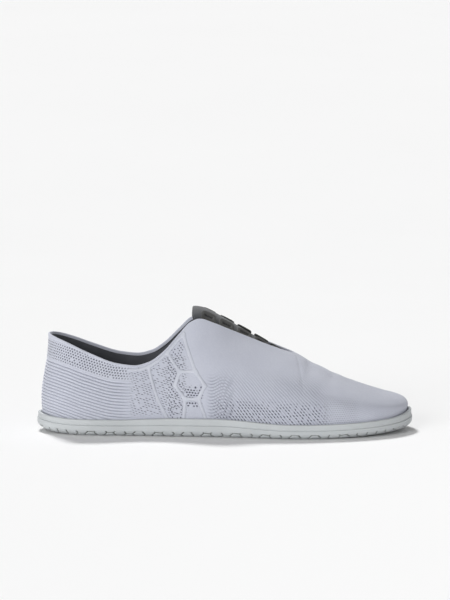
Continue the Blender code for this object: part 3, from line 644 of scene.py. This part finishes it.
def bezier(levers, t):
    a, b, c, d = levers
    return (1 - t)**3 * a + 3 * t * (1 - t)**2 * b + 3 * t * t * (1 - t) * c + t**3 * d


def skin_rows(turn, ups):
    """Rows of points on the upper's outer face, one for each share of the way up."""
    levers = section_levers(turn)
    return np.array([bezier(levers, t) for t in ups])


SKIN_TURNS = turns_around(112, 64, 92)
SKIN_UPS = np.linspace(0.0, 1.0, 141)
RIB_PITCH = 2.3
RIB_DEPTH = 0.00050
RIBS_BELOW = 17.0
RIBS_LEAN = 0.10
RIBS_END = (62.0, 78.0)
BACK_SEAM = 0.00025
BACK_SEAM_WIDTH = 0.0007
BACK_SEAM_FROM = (16.0, 18.0)
Crease = namedtuple("Crease", "along lean low high width depth")
CREASES = [
    Crease(0.1940, 0.012, 0.30, 1.30, 0.0044, 0.00060),
    Crease(0.2110, 0.010, 0.42, 1.30, 0.0038, 0.00045),
    Crease(0.2260, 0.006, 0.50, 1.30, 0.0034, 0.00030),
    Crease(0.0820, 0.010, 0.20, 0.85, 0.0040, 0.00055),
    Crease(0.1330, -0.014, 0.15, 0.70, 0.0050, 0.00045),
]


def skin_grid(turn, ups):
    """Points of the upper's outer face, their normals, and their places on the knit in
    millimetres: along the foot, up from the rim and down from the top."""
    points = skin_rows(turn, ups)
    normal = grid_normals(points)
    closed = abs(turn) >= VAMP_POINT
    normal[-1][closed] = unit(normal[-1] + normal[-1][opposite(len(turn))])[closed]
    run = run_along(points)
    return points, normal, stacked(points[..., 0], run, run[-1] - run) * MM


SKIN, SKIN_NORMAL, KNIT = skin_grid(SKIN_TURNS, SKIN_UPS)


def knit_relief():
    """Height of the knit's face above its plain form: ribs and a back seam at the heel, and soft
    troughs, each with a low ridge on both sides, where the shoe bends."""
    along, up, down = np.moveaxis(KNIT, -1, 0)
    band = down + along * RIBS_LEAN
    rib = (0.5 - 0.5 * np.cos(2 * np.pi * band / RIB_PITCH))**1.6
    heel = (1 - ease(*RIBS_END, along)) * ease(RIBS_BELOW, RIBS_BELOW + 1.2, band)
    heel = heel * ease(0.0, 1.5, up)
    arc = abs(SKIN_TURNS) * SIDE_LENGTH[-1]
    seam = np.exp(-(arc / BACK_SEAM_WIDTH)**2) * ease(*BACK_SEAM_FROM, down)
    relief = -RIB_DEPTH * rib * heel - BACK_SEAM * seam
    for crease in CREASES:
        aside = (along / MM - crease.along - crease.lean * SKIN_UPS[:, None]) / crease.width
        trough = np.exp(-aside**2) - 0.45 * np.exp(-(aside / 2.1)**2)
        span = ease(crease.low, crease.low + 0.25, SKIN_UPS)
        span = span * (1 - ease(crease.high - 0.25, crease.high, SKIN_UPS))
        relief = relief - crease.depth * trough * span[:, None]
    return relief


KNIT_RELIEF = knit_relief()


def weld_ridge(faces, row_start):
    """Joins both sides of a row of points where they meet on the ridge over the toes."""
    closed = (abs(SKIN_TURNS) >= VAMP_POINT) & (SKIN_TURNS > 0)
    number = np.arange(faces.max() + 1)
    number[row_start + np.flatnonzero(closed)] = row_start + opposite(len(SKIN_TURNS))[closed]
    return number[faces]


def collar_edge():
    """Along the collar and the throat: the knit's normal, and the way out of the cloth."""
    opened = np.flatnonzero(abs(SKIN_TURNS) <= VAMP_POINT)
    normal = SKIN_NORMAL[-1]
    front = unit(normal[opened[0]] + normal[opened[-1]])
    near = ease(VAMP_POINT - 0.030, VAMP_POINT - 0.004, abs(SKIN_TURNS))[:, None]
    normal = unit(mix(normal, front, near))
    edge = SKIN[-1][opened]
    ahead = np.vstack([edge[1:], edge[-2:-1] * (1, -1, 1) + (0, 2 * edge[-1, 1], 0)])
    behind = np.vstack([edge[1:2] * (1, -1, 1) + (0, 2 * edge[0, 1], 0), edge[:-1]])
    out = unit(np.cross(normal[opened], ahead - behind))
    rise = SKIN[-1] - SKIN[-2]
    rise[opened] = out * np.sign((out * rise[opened]).sum())
    return normal, unit(rise)


# Steps over the rolled edge in degrees, and lengths of the strip that is turned in behind it
ROLLED_EDGE = (30, 60, 90, 120, 150, 180)
TURNED_IN = (0.0012, 0.0024)


def upper():
    """The knit's outer face, its rolled edge round the collar and throat, and a strip turned in.
    Its marks: place on the knit, and length from the heel's back and from the middle line."""
    count = len(SKIN_TURNS)
    share = abs(SKIN_TURNS)
    place, _ = edge_points(SKIN_TURNS, CUP_WALL + GAP)
    rows = [above_bottom(place, PLATE + GAP), *(SKIN + SKIN_NORMAL * KNIT_RELIEF[..., None])]
    knit = [stacked(place[:, 0] * MM, -5.0, KNIT[0][:, 2]), *KNIT]
    outer = len(rows)
    top = rows[-1]
    along, up, _ = KNIT[-1].T
    normal, rise = collar_edge()
    opened = (share <= VAMP_POINT)[:, None]
    steps = [(KNIT_WALL / 2 * (1 - np.cos(a)), KNIT_WALL / 2 * np.sin(a), -a)
             for a in np.radians(ROLLED_EDGE)]
    steps += [(KNIT_WALL, -length, -3 - length * MM) for length in TURNED_IN]
    for inward, outward, down in steps:
        rows.append(top + (rise * outward - normal * inward) * opened)
        knit.append(stacked(along, up, down))
    knit = np.array(knit)
    first = (outer - 1) * count
    faces = weld_ridge(ring_faces(outer, count), first)
    edge = ring_faces(len(rows) - outer + 1, count, first)
    edge = edge[(share[edge[:, :2] % count] <= VAMP_POINT).all(axis=1)]
    arc = np.where(SKIN_TURNS >= 0, SIDE_LENGTH[-1], SIDE_LENGTH[1]) * SKIN_TURNS * MM
    spread = abs(last_column(SKIN_TURNS, "spread", odd=True)) * (share < VAMP_POINT) * MM
    lengths = stacked(arc, knit[..., 2] + spread, 0.0)
    return np.array(rows), np.vstack([faces, edge]), {"knit": knit, "turn": lengths}


# Zones of the knit in millimetres along the foot from the heel's back
FOREFOOT = (134, 212)
DOTTED = (208, 236)
WAVY = (128, 146)
PANEL = (111, 124)
SCATTERED = (98, 110)
DASHED = (72, 112)
SMOOTH_TOE = (214, 236)
OPEN_WORK = (3.2, 16.5)


def holes(along, across, pitch, row_pitch, size, row_size, kept=1.0):
    """Staggered rows of oval holes: 1 inside a hole. kept is the share of them that is there."""
    row = (across / row_pitch).maths("FLOOR")
    shifted = along + (row * 0.5).maths("FRACT") * pitch
    a = shifted.wrap(pitch) / size
    b = (across - row_pitch / 2).wrap(row_pitch) / row_size
    away = (a * a + b * b).maths("SQRT")
    inside = 1 - away.ease(0.65, 1.15)
    if kept < 1.0:
        cell = row.node("ShaderNodeCombineXYZ", None,
                        {0: (shifted / pitch + 0.5).maths("FLOOR"), 1: row})
        lot = cell.node("ShaderNodeTexWhiteNoise", {"noise_dimensions": "3D"}, {"Vector": cell})
        inside = inside * (1 - lot.ease(kept - 0.02, kept + 0.02))
    return inside


def knit_finish():
    made, place = begin_finish("pale_grey_knit", Sheen_Weight=0.20, Sheen_Roughness=0.45)
    along, up, down = place.marks("knit")
    arc, over, _ = place.marks("turn")
    cloud = place.noise(0.05, 3.0)
    fleck = place.noise(0.9, 3.0)
    wobble = (place.noise(0.12, 2.0) - 0.5) * 3.0
    # Diagonals that fall towards the toe, at about 50 degrees, with slits low on the foot
    slope = along * 0.766 + up * 0.643 + wobble * 0.5
    run = along * 0.643 - up * 0.766
    forefoot = along.within(*FOREFOOT, 9) * (1 - up.ease(22, 44))
    diagonal = abs(slope.wrap(1.9)).ease(0.35, 0.80) * forefoot
    slits = holes(run, slope, 2.6, 1.9, 0.95, 0.36, 0.80) * forefoot * (1 - up.ease(9, 19))
    dots = holes(along, up, 1.7, 1.5, 0.45, 0.32) * along.within(*DOTTED, 6)
    dots = dots * (1 - up.ease(14, 24)) * 0.45
    # Waist: waves before the film strips, holes in the panels between them, dashes behind them
    waves = abs((up * 0.9 + (along * 0.35).maths("SINE") * 1.6).wrap(2.1)).ease(0.45, 0.95)
    waves = waves * along.within(*WAVY, 2.5) * (1 - up.ease(26, 36))
    panel = holes(along, up + wobble, 2.1, 2.0, 0.74, 0.66, 0.74)
    panel = panel * along.within(*PANEL, 1.0) * up.within(8.5, 24, 1.0)
    scattered = holes(run, slope, 2.0, 2.1, 0.62, 0.40, 0.66) * along.within(*SCATTERED, 1.5)
    dashes = holes(along * 0.94 - up * 0.34, up * 0.94 + along * 0.34, 2.6, 1.6, 0.90, 0.24, 0.72)
    dashes = dashes * along.within(*DASHED, 3) * up.within(3, 46, 2)
    # Heel: open-work under the collar, and raised ribs that follow the topline below it
    heel = 1 - along.ease(*RIBS_END)
    band = down + along * RIBS_LEAN
    open_work = holes(arc + band * 0.28, band + wobble * 0.2, 2.15, 1.9, 0.64, 0.66, 0.95)
    open_work = open_work * heel * band.within(*OPEN_WORK, 0.8)
    ribs = abs(band.wrap(RIB_PITCH)).ease(0.60, 1.12)
    ribs = ribs * heel * band.ease(RIBS_BELOW, RIBS_BELOW + 1.2)
    seam = (1 - abs(arc).ease(0.2, 0.8)) * down.ease(*BACK_SEAM_FROM) * 0.35
    # Smooth knit at the toe, with faint lines that run lengthwise, and small loops all over
    lengthwise = abs(over.wrap(1.5)).ease(0.35, 0.75) * along.ease(*SMOOTH_TOE) * 0.30
    loops = abs((over + abs(along.wrap(1.2)) * 0.8).wrap(0.8))
    loops = loops.ease(0.12, 0.36) * (1 - heel) * over.ease(0.4, 1.2)
    open_work = open_work * (1 - fleck.ease(0.3, 0.8) * 0.4)
    open_marks = slits | dots | panel | scattered | dashes * 0.9 | open_work
    open_marks = open_marks * down.ease(0.4, 1.4)
    # Grooves between the knit's raised courses: diagonals, waves, rib valleys, lengthwise lines and
    # the back seam. They are sunk by the relief, and their darker colour is painted shade.
    shaded_grooves = diagonal * 0.75 | waves * 0.9 | ribs | lengthwise | seam
    base = (cloud * 0.4 + fleck * 0.4 - loops * 0.25 + 0.1).ease(0.15, 0.70)
    base = base.tint(colour(185, 188, 201), colour(198, 201, 212))
    # Painted shade: the knit is darkened in its grooves.
    base = (shaded_grooves * 0.62).tint(base, colour(126, 129, 145))
    base = (open_marks * 0.92).tint(base, colour(74, 76, 91))
    relief = loops * -0.07 + fleck * 0.05 - shaded_grooves * 0.20 - open_marks * 0.40
    return end_finish(made, base, 0.86, relief)


make_piece("knit_upper", upper(), knit_finish(), ["upper"], WELD)


# Lining: dark fabric bonded to the inside of the knit. It is the inner face of the same wall,
# from just below the rolled edge down to the footbed, and dips below the throat's front.
LINING_GAP = 0.00015
LINING_BELOW_EDGE = 0.0012
LINING_DIP = 0.09
LINING_DIP_WIDTH = 0.014


def lining():
    share = abs(SKIN_TURNS)
    top = 1.0 - LINING_DIP * np.exp(-((share - VAMP_POINT) / LINING_DIP_WIDTH)**2)
    rows = skin_rows(SKIN_TURNS, np.linspace(0.0, 1.0, 37)[:, None, None] * top[:, None])
    normal = grid_normals(rows)
    normal[-1], rise = collar_edge()
    rows -= normal * (KNIT_WALL + LINING_GAP)
    rows[-1] -= rise * LINING_BELOW_EDGE * (share <= VAMP_POINT)[:, None]
    place, _ = edge_points(SKIN_TURNS, CUP_WALL + GAP + KNIT_WALL)
    verts = np.vstack([above_bottom(place, PLATE + GAP)[None], rows])
    faces = ring_faces(*verts.shape[:2])[:, ::-1]
    return verts, weld_ridge(faces, (len(verts) - 1) * len(share)), {}


lining_finish = cover_finish("dark_lining", colour(76, 78, 83), colour(94, 96, 102), 0.9)
make_piece("collar_lining", lining(), lining_finish)


# Heel pad: a flat rounded cushion of foam under smooth cloth, bonded to the lining at the back
# of the collar, with its edge pressed down and stitched.
SKIN_STEP = 0.003
HEEL_PAD_REACH = 0.092
HEEL_PAD_TOP = 0.0042
HEEL_PAD_HEIGHT = 0.0170
HEEL_PAD_CROWN = 0.0019
HEEL_PAD_GAP = 0.0001
HEEL_PAD_FOOT = 0.0002
HEEL_PAD_RINGS = [1.0, 1.0, 0.985, 0.95, 0.90, 0.82, 0.70, 0.50, 0.28, 0.0]


def skin_at(turn, up):
    return bezier(section_levers(turn), np.asarray(up, float)[..., None])


def under_skin(turn, up, depth):
    """Points below the upper's outer face, or above it where the depth is negative."""
    turn, up = np.broadcast_arrays(turn, up)
    ahead, behind = np.minimum(turn + SKIN_STEP, 1.0), np.maximum(turn - SKIN_STEP, -1.0)
    above, below = np.minimum(up + SKIN_STEP, 1.0), np.maximum(up - SKIN_STEP, 0.0)
    normal = unit(np.cross(skin_at(ahead, up) - skin_at(behind, up),
                           skin_at(turn, above) - skin_at(turn, below)))
    return skin_at(turn, up) - normal * np.asarray(depth)[..., None]


def up_of(turn, up=None, down=None):
    """The section's share that lies at a distance up from the rim, or down from the top."""
    ups = np.linspace(0.0, 1.0, 33)
    run = run_along(skin_rows(turn, ups))
    target = np.broadcast_to(up if down is None else run[-1] - down, run[-1].shape)
    found = [np.interp(length, lengths, ups)
             for length, lengths in zip(target.ravel(), run.reshape(len(ups), -1).T)]
    return np.reshape(found, target.shape)


def heel_pad():
    """Rings from a foot in the knit over the pressed edge to the middle of a rounded oblong."""
    around = np.linspace(0.0, 2 * np.pi, 97)[:-1]
    c, s = np.cos(around), np.sin(around)
    ring = np.array(HEEL_PAD_RINGS)[:, None]
    turn = np.sign(c) * abs(c)**0.55 * ring * HEEL_PAD_REACH
    down = HEEL_PAD_TOP + HEEL_PAD_HEIGHT * (0.5 - 0.5 * np.sign(s) * abs(s)**0.80 * ring)
    depth = KNIT_WALL + HEEL_PAD_GAP + HEEL_PAD_CROWN * (0.12 + 0.88 * (1 - ring**2.4)**0.6)
    depth[0] = KNIT_WALL - HEEL_PAD_FOOT
    verts = under_skin(turn, up_of(turn, down=down), depth)
    return verts, ring_faces(*turn.shape), {"pad": stacked(ring, turn, down)}


def pad_finish():
    made, place = begin_finish("smooth_blue_grey_cloth", Sheen_Weight=0.15)
    ring, _, _ = place.marks("pad")
    # Painted shade: a dark band in the groove where the pad's edge is pressed down and stitched.
    edge = ring.within(0.90, 0.96, 0.02)
    base = place.noise(0.06, 2.0).ease(0.3, 0.7)
    base = base.tint(colour(104, 109, 115), colour(116, 121, 127))
    base = (edge * 0.6).tint(base, colour(58, 60, 64))
    return end_finish(made, base, 0.72, place.noise(2.6, 1.0) * 0.03 - edge * 0.15)


pad = make_piece("heel_pad", heel_pad(), pad_finish(), merge=WELD)


# Tongue: a thin padded strip under the throat, sewn in at the front, with a stitched binding
# round its free edge. Its inner face is a taupe cloth.
BRIDGE_CROWN = 0.36
BRIDGE_START = 0.97
TAB_GAP = 0.0005
LACE_TAB = 0.0012
TONGUE = 0.0020
TONGUE_GAP = 0.0007
TONGUE_TOP_WIDTH = 0.0520
TONGUE_FRONT_WIDTH = 0.0360
TONGUE_RISE = 0.0120
TONGUE_START = 0.4600
TONGUE_FRONT = 0.6900
TONGUE_HIDDEN = 0.6320
TONGUE_TIP_NARROW = 0.55
TONGUE_CURL = 0.0030
TONGUE_DIP = 0.00012
TONGUE_BINDING = 0.0045
TONGUE_STITCH = 0.0008
TONGUE_TROUGH = 0.35
TONGUE_MARK = 22.0


def instep(share, offset, depth):
    """Points below the instep's form, at offsets from the throat's middle line: negative is
    lateral. Past the throat's edge they run on under the knit."""
    share, offset = np.broadcast_arrays(share, offset)
    ends, ways = [], []
    for turn in (share, -share):
        ends.append(under_skin(turn, 1.0, depth))
        ways.append(unit(ends[-1] - under_skin(turn, BRIDGE_START, depth)))
    width = np.linalg.norm(ends[1] - ends[0], axis=-1)
    reach = (width * BRIDGE_CROWN)[..., None]
    t = np.clip(0.5 + offset / np.maximum(width, 1e-6), 0.0, 1.0)[..., None]
    over = bezier((ends[0], ends[0] + ways[0] * reach, ends[1] + ways[1] * reach, ends[1]), t)
    turn = np.where(offset > 0, -share, share)
    past = np.maximum(abs(offset) - width / 2, 0.0)
    under = under_skin(turn, up_of(turn, down=past), depth)
    return np.where((past > 0)[..., None], under, over), width


def tongue():
    """A sheet from the free tip to the end hidden under the knit, and its two faces. Its marks
    are its places across and along in millimetres, and which face a point is on."""
    depth = KNIT_WALL + TAB_GAP + LACE_TAB + TONGUE_GAP + TONGUE / 2
    share = np.linspace(TONGUE_START, TONGUE_HIDDEN, 56)
    half = mix(TONGUE_TOP_WIDTH, TONGUE_FRONT_WIDTH,
               (share - TONGUE_START) / (TONGUE_FRONT - TONGUE_START)) / 2
    across = np.sin(np.linspace(-0.5, 0.5, 45) * np.pi)
    middle = len(across) // 2
    rows, _ = instep(share[:, None], across * half[:, None], depth)
    ahead = (rows[-1] - rows[-8]) / 7 - (0, 0, TONGUE_DIP)
    hidden = rows[-1] + ahead * np.arange(1, 15)[:, None, None]
    way = unit((rows[0] - rows[3]).mean(axis=0))
    step = np.sin(np.linspace(1.0, 0.0, 25)[:-1, None] * np.pi / 2)
    tips, _ = instep(TONGUE_START, across * half[0] * (1.0 - TONGUE_TIP_NARROW * step**3), depth)
    step = step[..., None]
    tips += way * TONGUE_RISE * step - step**2 * (0, 0, TONGUE_CURL)
    rows = np.vstack([tips, rows, hidden])
    normal = grid_normals(rows, closed=False)
    normal *= np.sign(normal[len(rows) // 2, middle, 2])
    from_tip = np.clip(np.arange(len(rows))[:, None] / 6.0, 0.0, 1.0)
    puff = np.clip(1 - abs(across)**8, 0.0, 1.0)**0.5 * from_tip**0.5
    from_edge = half.max() * (1 - abs(across))
    trough = 1 - TONGUE_TROUGH * np.exp(-((from_edge - TONGUE_BINDING) / TONGUE_STITCH)**2)
    thick = normal * (puff * trough * TONGUE / 2)[..., None]
    verts = np.concatenate([rows + thick, (rows - thick)[:, -2:0:-1]], axis=1)
    length = run_along(rows[:, middle])[:, None] * MM
    aside = np.concatenate([across, across[-2:0:-1]]) * TONGUE_MARK
    marks = stacked(aside, length, np.arange(len(aside)) >= len(across))
    return verts, ring_faces(*verts.shape[:2]), {"tongue": marks}


def tongue_finish():
    made, place = begin_finish("dark_tongue_cloth", Sheen_Weight=0.25)
    aside, along, face = place.marks("tongue")
    edge = abs(aside)
    binding = edge.ease(17.6, 18.2)
    stitch = edge.within(16.6, 17.2, 0.15) * abs(along.wrap(2.6)).ease(0.3, 0.5)
    weave = (aside * 5.2).maths("SINE") * (along * 5.2).maths("SINE")
    base = (place.noise(0.08, 2.0) * 0.7 + weave * 0.15).ease(0.1, 0.8)
    base = base.tint(colour(58, 60, 64), colour(76, 78, 82))
    base = (face * 0.9).tint(base, colour(109, 104, 102))
    base = (stitch * 0.7).tint(base, colour(112, 114, 118))
    return end_finish(made, base, 0.85 - binding * 0.15, weave * 0.05 + stitch * 0.15)


make_piece("tongue_cloth", tongue(), tongue_finish(), ["tongue"], WELD)


# Lace tabs: smooth dark webbing loops that come out from under the knit along the throat, each
# with a slot for the lace. A sewn band joins them under the knit.
TAB_COUNT = 5
TAB_WIDTH = 0.0110
TAB_REACH = 0.0100
TABS_TOP = 0.4620
TABS_FRONT = 0.6130
THROAT_SLANT = 0.93
SLOT_MIDDLE = 0.56
SLOT_HALF = (0.58, 0.115)
TAB_END = 0.44
TAB_ROOT = 0.45
# Parts of the way from the slot to the outline, and shares of the webbing's thickness there
TabRing = namedtuple("TabRing", "part thick")
TAB_RINGS = [
    TabRing(0.00, 0.0), TabRing(0.03, 0.62), TabRing(0.08, 0.92), TabRing(0.16, 1.0),
    TabRing(0.38, 1.0), TabRing(0.62, 1.0), TabRing(0.84, 1.0), TabRing(0.92, 0.92),
    TabRing(0.97, 0.62), TabRing(1.00, 0.0),
]
# The sewn band's section: reach out from the throat's edge, and lift off the tabs' middle
TAB_BAND = np.array([
    (-0.60, 0.0), (-0.58, -0.42), (-0.10, -0.42), (-0.06, 0.0), (-0.10, 0.42), (-0.58, 0.42),
    (-0.60, 0.0),
])


def lace_tabs(side):
    """Closed loops of webbing: rings from each tab's slot to its outline, on both faces. Their
    marks are places across and out from the throat's edge in millimetres, and the ring's part."""
    depth = KNIT_WALL + TAB_GAP + LACE_TAB / 2
    span = (VAMP_POINT - THROAT_CORNER) / (THROAT_FRONT - THROAT_TOP)
    half = TAB_WIDTH / 2 * span * THROAT_SLANT
    angle = np.linspace(0.0, 2 * np.pi, 73)[:-1]
    c, s = np.cos(angle), np.sin(angle)
    slot = stacked(np.sign(c) * abs(c)**0.35, np.sign(s) * abs(s)**0.7) * SLOT_HALF
    round_end = (abs(c)**3.0 + abs(s / TAB_END)**3.0)**(-1 / 3.0)
    root = np.minimum(1 / np.maximum(abs(c), 1e-6),
                      (SLOT_MIDDLE + TAB_ROOT) / np.maximum(-s, 1e-6))
    rim = stacked(c, s) * np.where(s >= 0, round_end, root)[:, None]
    under, over = TAB_RINGS, TAB_RINGS[-2:0:-1]
    part = np.array([ring.part for ring in under + over])[:, None]
    lift = np.array([-ring.thick for ring in under] + [ring.thick for ring in over])[:, None]
    flat = mix(slot, rim, part[..., None])
    middles = mix(TABS_TOP, TABS_FRONT, np.linspace(0.0, 1.0, TAB_COUNT))
    share = middles[:, None, None] + flat[..., 0] * half
    reach = (SLOT_MIDDLE + flat[..., 1]) * TAB_REACH
    _, width = instep(share, 0.0, depth)
    verts, _ = instep(share, side * (width / 2 - reach), depth + lift * LACE_TAB / 2)
    marks = stacked(flat[..., 0] * TAB_WIDTH / 2 * MM, reach * MM, part + 0 * share)
    loop = part.size * len(angle)
    ring = ring_faces(part.size + 1, len(angle)) % loop
    faces = [k * loop + ring for k in range(TAB_COUNT)]
    share = np.linspace(TABS_TOP - half, TABS_FRONT + half, 81)
    out, rise = TAB_BAND.T[..., None]
    _, width = instep(share, 0.0, depth)
    band, _ = instep(share, side * (width / 2 - out * TAB_REACH), depth + rise * LACE_TAB)
    faces.append(TAB_COUNT * loop + sheet_faces(*band.shape[:2]))
    verts = np.vstack([verts.reshape(-1, 3), band.reshape(-1, 3)])
    marks = np.vstack([marks.reshape(-1, 3), stacked(np.zeros(band.size // 3), -5.0, 0.5)])
    return verts, np.vstack(faces), {"tab": marks}


def webbing_finish():
    made, place = begin_finish("dark_smooth_webbing")
    aside, reach, _ = place.marks("tab")
    rib = (aside * 7.0).maths("SINE")
    stitch = reach.within(0.6, 1.1, 0.12) * abs(aside.wrap(1.3)).ease(0.15, 0.3)
    cloud = place.noise(0.12, 2.0)
    base = cloud.ease(0.3, 0.7).tint(colour(62, 62, 61), colour(74, 74, 73))
    return end_finish(made, base, 0.62 + cloud * 0.1, rib * 0.02 + stitch * 0.10)


webbing = webbing_finish()
for side_name, side_sign in (("lateral", -1), ("medial", 1)):
    make_piece("webbing_tabs_" + side_name, lace_tabs(side_sign), webbing,
               ["lace_tabs_" + side_name], WELD)


# Film strips: a thin smooth film fused onto the knit, cut like a net of hexagons that spreads
# from the sole's edge, with a trim along the collar's front. Its edges sink into the knit.
FILM = 0.0005
STRIP_WIDTH = 0.0028
TRIM_BELOW = 0.0028
FILM_SUNK = 0.00006
# Places along the foot and up from the rim, where the film's bars meet
STRIP_NODES = {
    "foot_front": (0.1264, -0.0020),
    "foot_middle": (0.1097, -0.0020),
    "foot_back": (0.0985, -0.0020),
    "low_front": (0.1215, 0.0140),
    "low_back": (0.1120, 0.0140),
    "mid_front": (0.1271, 0.0240),
    "mid_back": (0.1064, 0.0240),
    "high_front": (0.1221, 0.0345),
    "high_back": (0.1114, 0.0345),
    "join_back": (0.0924, 0.0130),
}
STRIP_BARS = [
    ("foot_front", "low_front"), ("foot_middle", "low_back"), ("low_front", "low_back"),
    ("low_front", "mid_front"), ("low_back", "mid_back"), ("mid_front", "high_front"),
    ("mid_back", "high_back"), ("high_front", "high_back"), ("foot_back", "join_back"),
]
TRIM_PLACES = [0.0700, 0.0781, 0.0871, 0.0960, 0.1039, 0.1109, 0.1170]
TRIM_JOINS = {"join_back": 2, "high_back": 4, "high_front": 6}
STRIP_CELL = 0.0005
STRIP_FIELD = (0.0660, 0.1345, 0.0720)
STRIP_EDGE = (-0.0001, 0.0008)
FILLET = 0.0006


def segment_gap(points, start, end):
    """Distances from points to a straight bar."""
    way = np.array(end) - start
    t = np.clip(((points - start) @ way) / (way @ way), 0.0, 1.0)
    return np.linalg.norm(points - start - t[..., None] * way, axis=-1)


def film_strips(side):
    """A grid of the knit kept where it lies within a strip, with its border drawn to the strip's
    edge and its middle raised. Its marks are its place and the depth inside the strip."""
    share = np.linspace(0.0, 1.0, 401)
    foot, _ = edge_points(-side * share, CUP_WALL + GAP)

    def turn_of(x):
        return -side * np.interp(x, foot[:, 0], share)

    length = run_along(skin_rows(turn_of(TRIM_PLACES), np.linspace(0.0, 1.0, 33)))[-1]
    trim = stacked(TRIM_PLACES, length - TRIM_BELOW)

    def inside(points):
        gaps = [segment_gap(points, STRIP_NODES[a], STRIP_NODES[b]) for a, b in STRIP_BARS]
        gaps += [segment_gap(points, STRIP_NODES[a], trim[k]) for a, k in TRIM_JOINS.items()]
        gaps.append(np.min([segment_gap(points, a, b) for a, b in zip(trim, trim[1:])], axis=0))
        return STRIP_WIDTH / 2 + FILLET * np.log(sum(np.exp(-gap / FILLET) for gap in gaps))

    back, front, top = STRIP_FIELD
    flat = np.stack(np.meshgrid(np.arange(back, front, STRIP_CELL),
                                np.arange(0.0, top, STRIP_CELL)), axis=-1)
    faces = sheet_faces(*flat.shape[:2])
    faces = faces[(inside(flat).ravel()[faces] > 0).any(axis=1)]
    used, faces = np.unique(faces, return_inverse=True)
    points = flat.reshape(-1, 2)[used]
    step = 1e-5
    for _ in range(3):
        here = inside(points)
        slope = stacked(inside(points + (step, 0)) - here, inside(points + (0, step)) - here) / step
        move = np.where(here < 0, -here, 0.0) / np.maximum((slope**2).sum(axis=-1), 0.2)
        points = points + slope * move[:, None]
        points[:, 1] = np.maximum(points[:, 1], 0.0)
    turn = turn_of(points[:, 0])
    depth = np.maximum(inside(points), 0.0)
    lift = FILM * ease(*STRIP_EDGE, depth) - FILM_SUNK
    verts = under_skin(turn, up_of(turn, up=points[:, 1]), -lift)
    marks = np.column_stack([points, depth]) * MM
    return verts, faces.reshape(-1, 4)[:, ::-side], {"strip": marks}


def film_finish():
    made, place = begin_finish("pale_smooth_film", IOR=1.48, Coat_Weight=0.05)
    _, _, depth = place.marks("strip")
    fleck = place.noise(1.3, 3.0)
    base = (place.noise(0.10, 2.0) * 0.5 + fleck * 0.5).ease(0.3, 0.7)
    base = base.tint(colour(184, 187, 198), colour(195, 198, 208))
    # Painted shade: the film is darkened along its edges, where they sink into the knit.
    edge = 1 - depth.ease(0.05, 0.45)
    base = (edge * 0.70).tint(base, colour(142, 145, 159))
    return end_finish(made, base, 0.50 + fleck * 0.12, fleck * 0.03)


film = film_finish()
for side_name, side_sign in (("lateral", -1), ("medial", 1)):
    make_piece("film_strips_" + side_name, film_strips(side_sign), film,
               ["cage_" + side_name])


# Floor, lamps and camera: a plain pale studio. The floor rises gently far behind the shoe, and
# the camera looks square at the outer side from a little above it, as the photograph does.
CAMERA_RISE = 4.0
CAMERA_LENS = 110.0
CAMERA_AWAY = 1.36
AIM = (0.0, 0.0, 0.097)
FLOOR_HALF = 14.0
RISE_FROM = 1.6
RISE_RADIUS = 4.0
RISE_ANGLE = 12.0
RISE_LENGTH = 7.0

angles = np.radians(np.linspace(0.0, RISE_ANGLE, 13))
bend = stacked(RISE_FROM + RISE_RADIUS * np.sin(angles), RISE_RADIUS * (1 - np.cos(angles)))
far_end = bend[-1] + RISE_LENGTH * np.array([1.0, np.tan(angles[-1])])
floor_rows = np.vstack([(-FLOOR_HALF, 0.0), (-1.0, 0.0), (1.0, 0.0), bend, far_end])
floor_mesh = bpy.data.meshes.new("floor")
floor_mesh.from_pydata([(x, y, z) for y, z in floor_rows for x in (-FLOOR_HALF, FLOOR_HALF)], [],
                       sheet_faces(len(floor_rows), 2).tolist())
floor_mesh.shade_smooth()
floor_finish, floor_place = begin_finish("pale_floor", Specular_IOR_Level=0.0)
floor_cloud = floor_place.noise(0.002, 2.0)
end_finish(floor_finish, floor_cloud.tint(colour(247, 247, 247), colour(249, 249, 249)), 0.75,
           floor_cloud * 0.01)
floor_mesh.materials.append(floor_finish)
floor = add_object("floor", floor_mesh)


def add_light(name, kind, place, aim, energy, **shape):
    """A lamp at a place, or a sun in that direction, that shines at the aim."""
    data = bpy.data.lights.new(name, kind)
    data.energy = energy
    for key, value in shape.items():
        setattr(data, key, value)
    lamp = add_object(name, data)
    lamp.location = place
    lamp.rotation_euler = (Vector(aim) - Vector(place)).to_track_quat("-Z", "Y").to_euler()


add_light("sun_behind", "SUN", (-0.25, 0.75, 1.0), (0, 0, 0), 2.35, angle=np.radians(10.0))
add_light("sun_front", "SUN", (-0.55, -1.0, 0.20), (0, 0, 0), 2.0, angle=np.radians(30.0))
add_light("lamp_right", "AREA", (1.25, -0.55, 0.50), (0, 0, 0.04), 1.2, shape="SQUARE", size=0.8)

world = bpy.data.worlds.new("studio")
world.use_nodes = True
sky = world.node_tree.nodes["Background"].inputs
sky["Color"].default_value = colour(250, 250, 250)
sky["Strength"].default_value = 0.30
bpy.context.scene.world = world
bpy.context.scene.view_settings.view_transform = "Standard"

camera_data = bpy.data.cameras.new("camera")
camera_data.lens = CAMERA_LENS
camera = add_object("camera", camera_data)
tilt = np.radians(CAMERA_RISE)
camera.location = Vector(AIM) + CAMERA_AWAY * Vector((0.0, -np.cos(tilt), np.sin(tilt)))
camera.rotation_euler = (np.pi / 2 - tilt, 0.0, 0.0)
bpy.context.scene.camera = camera
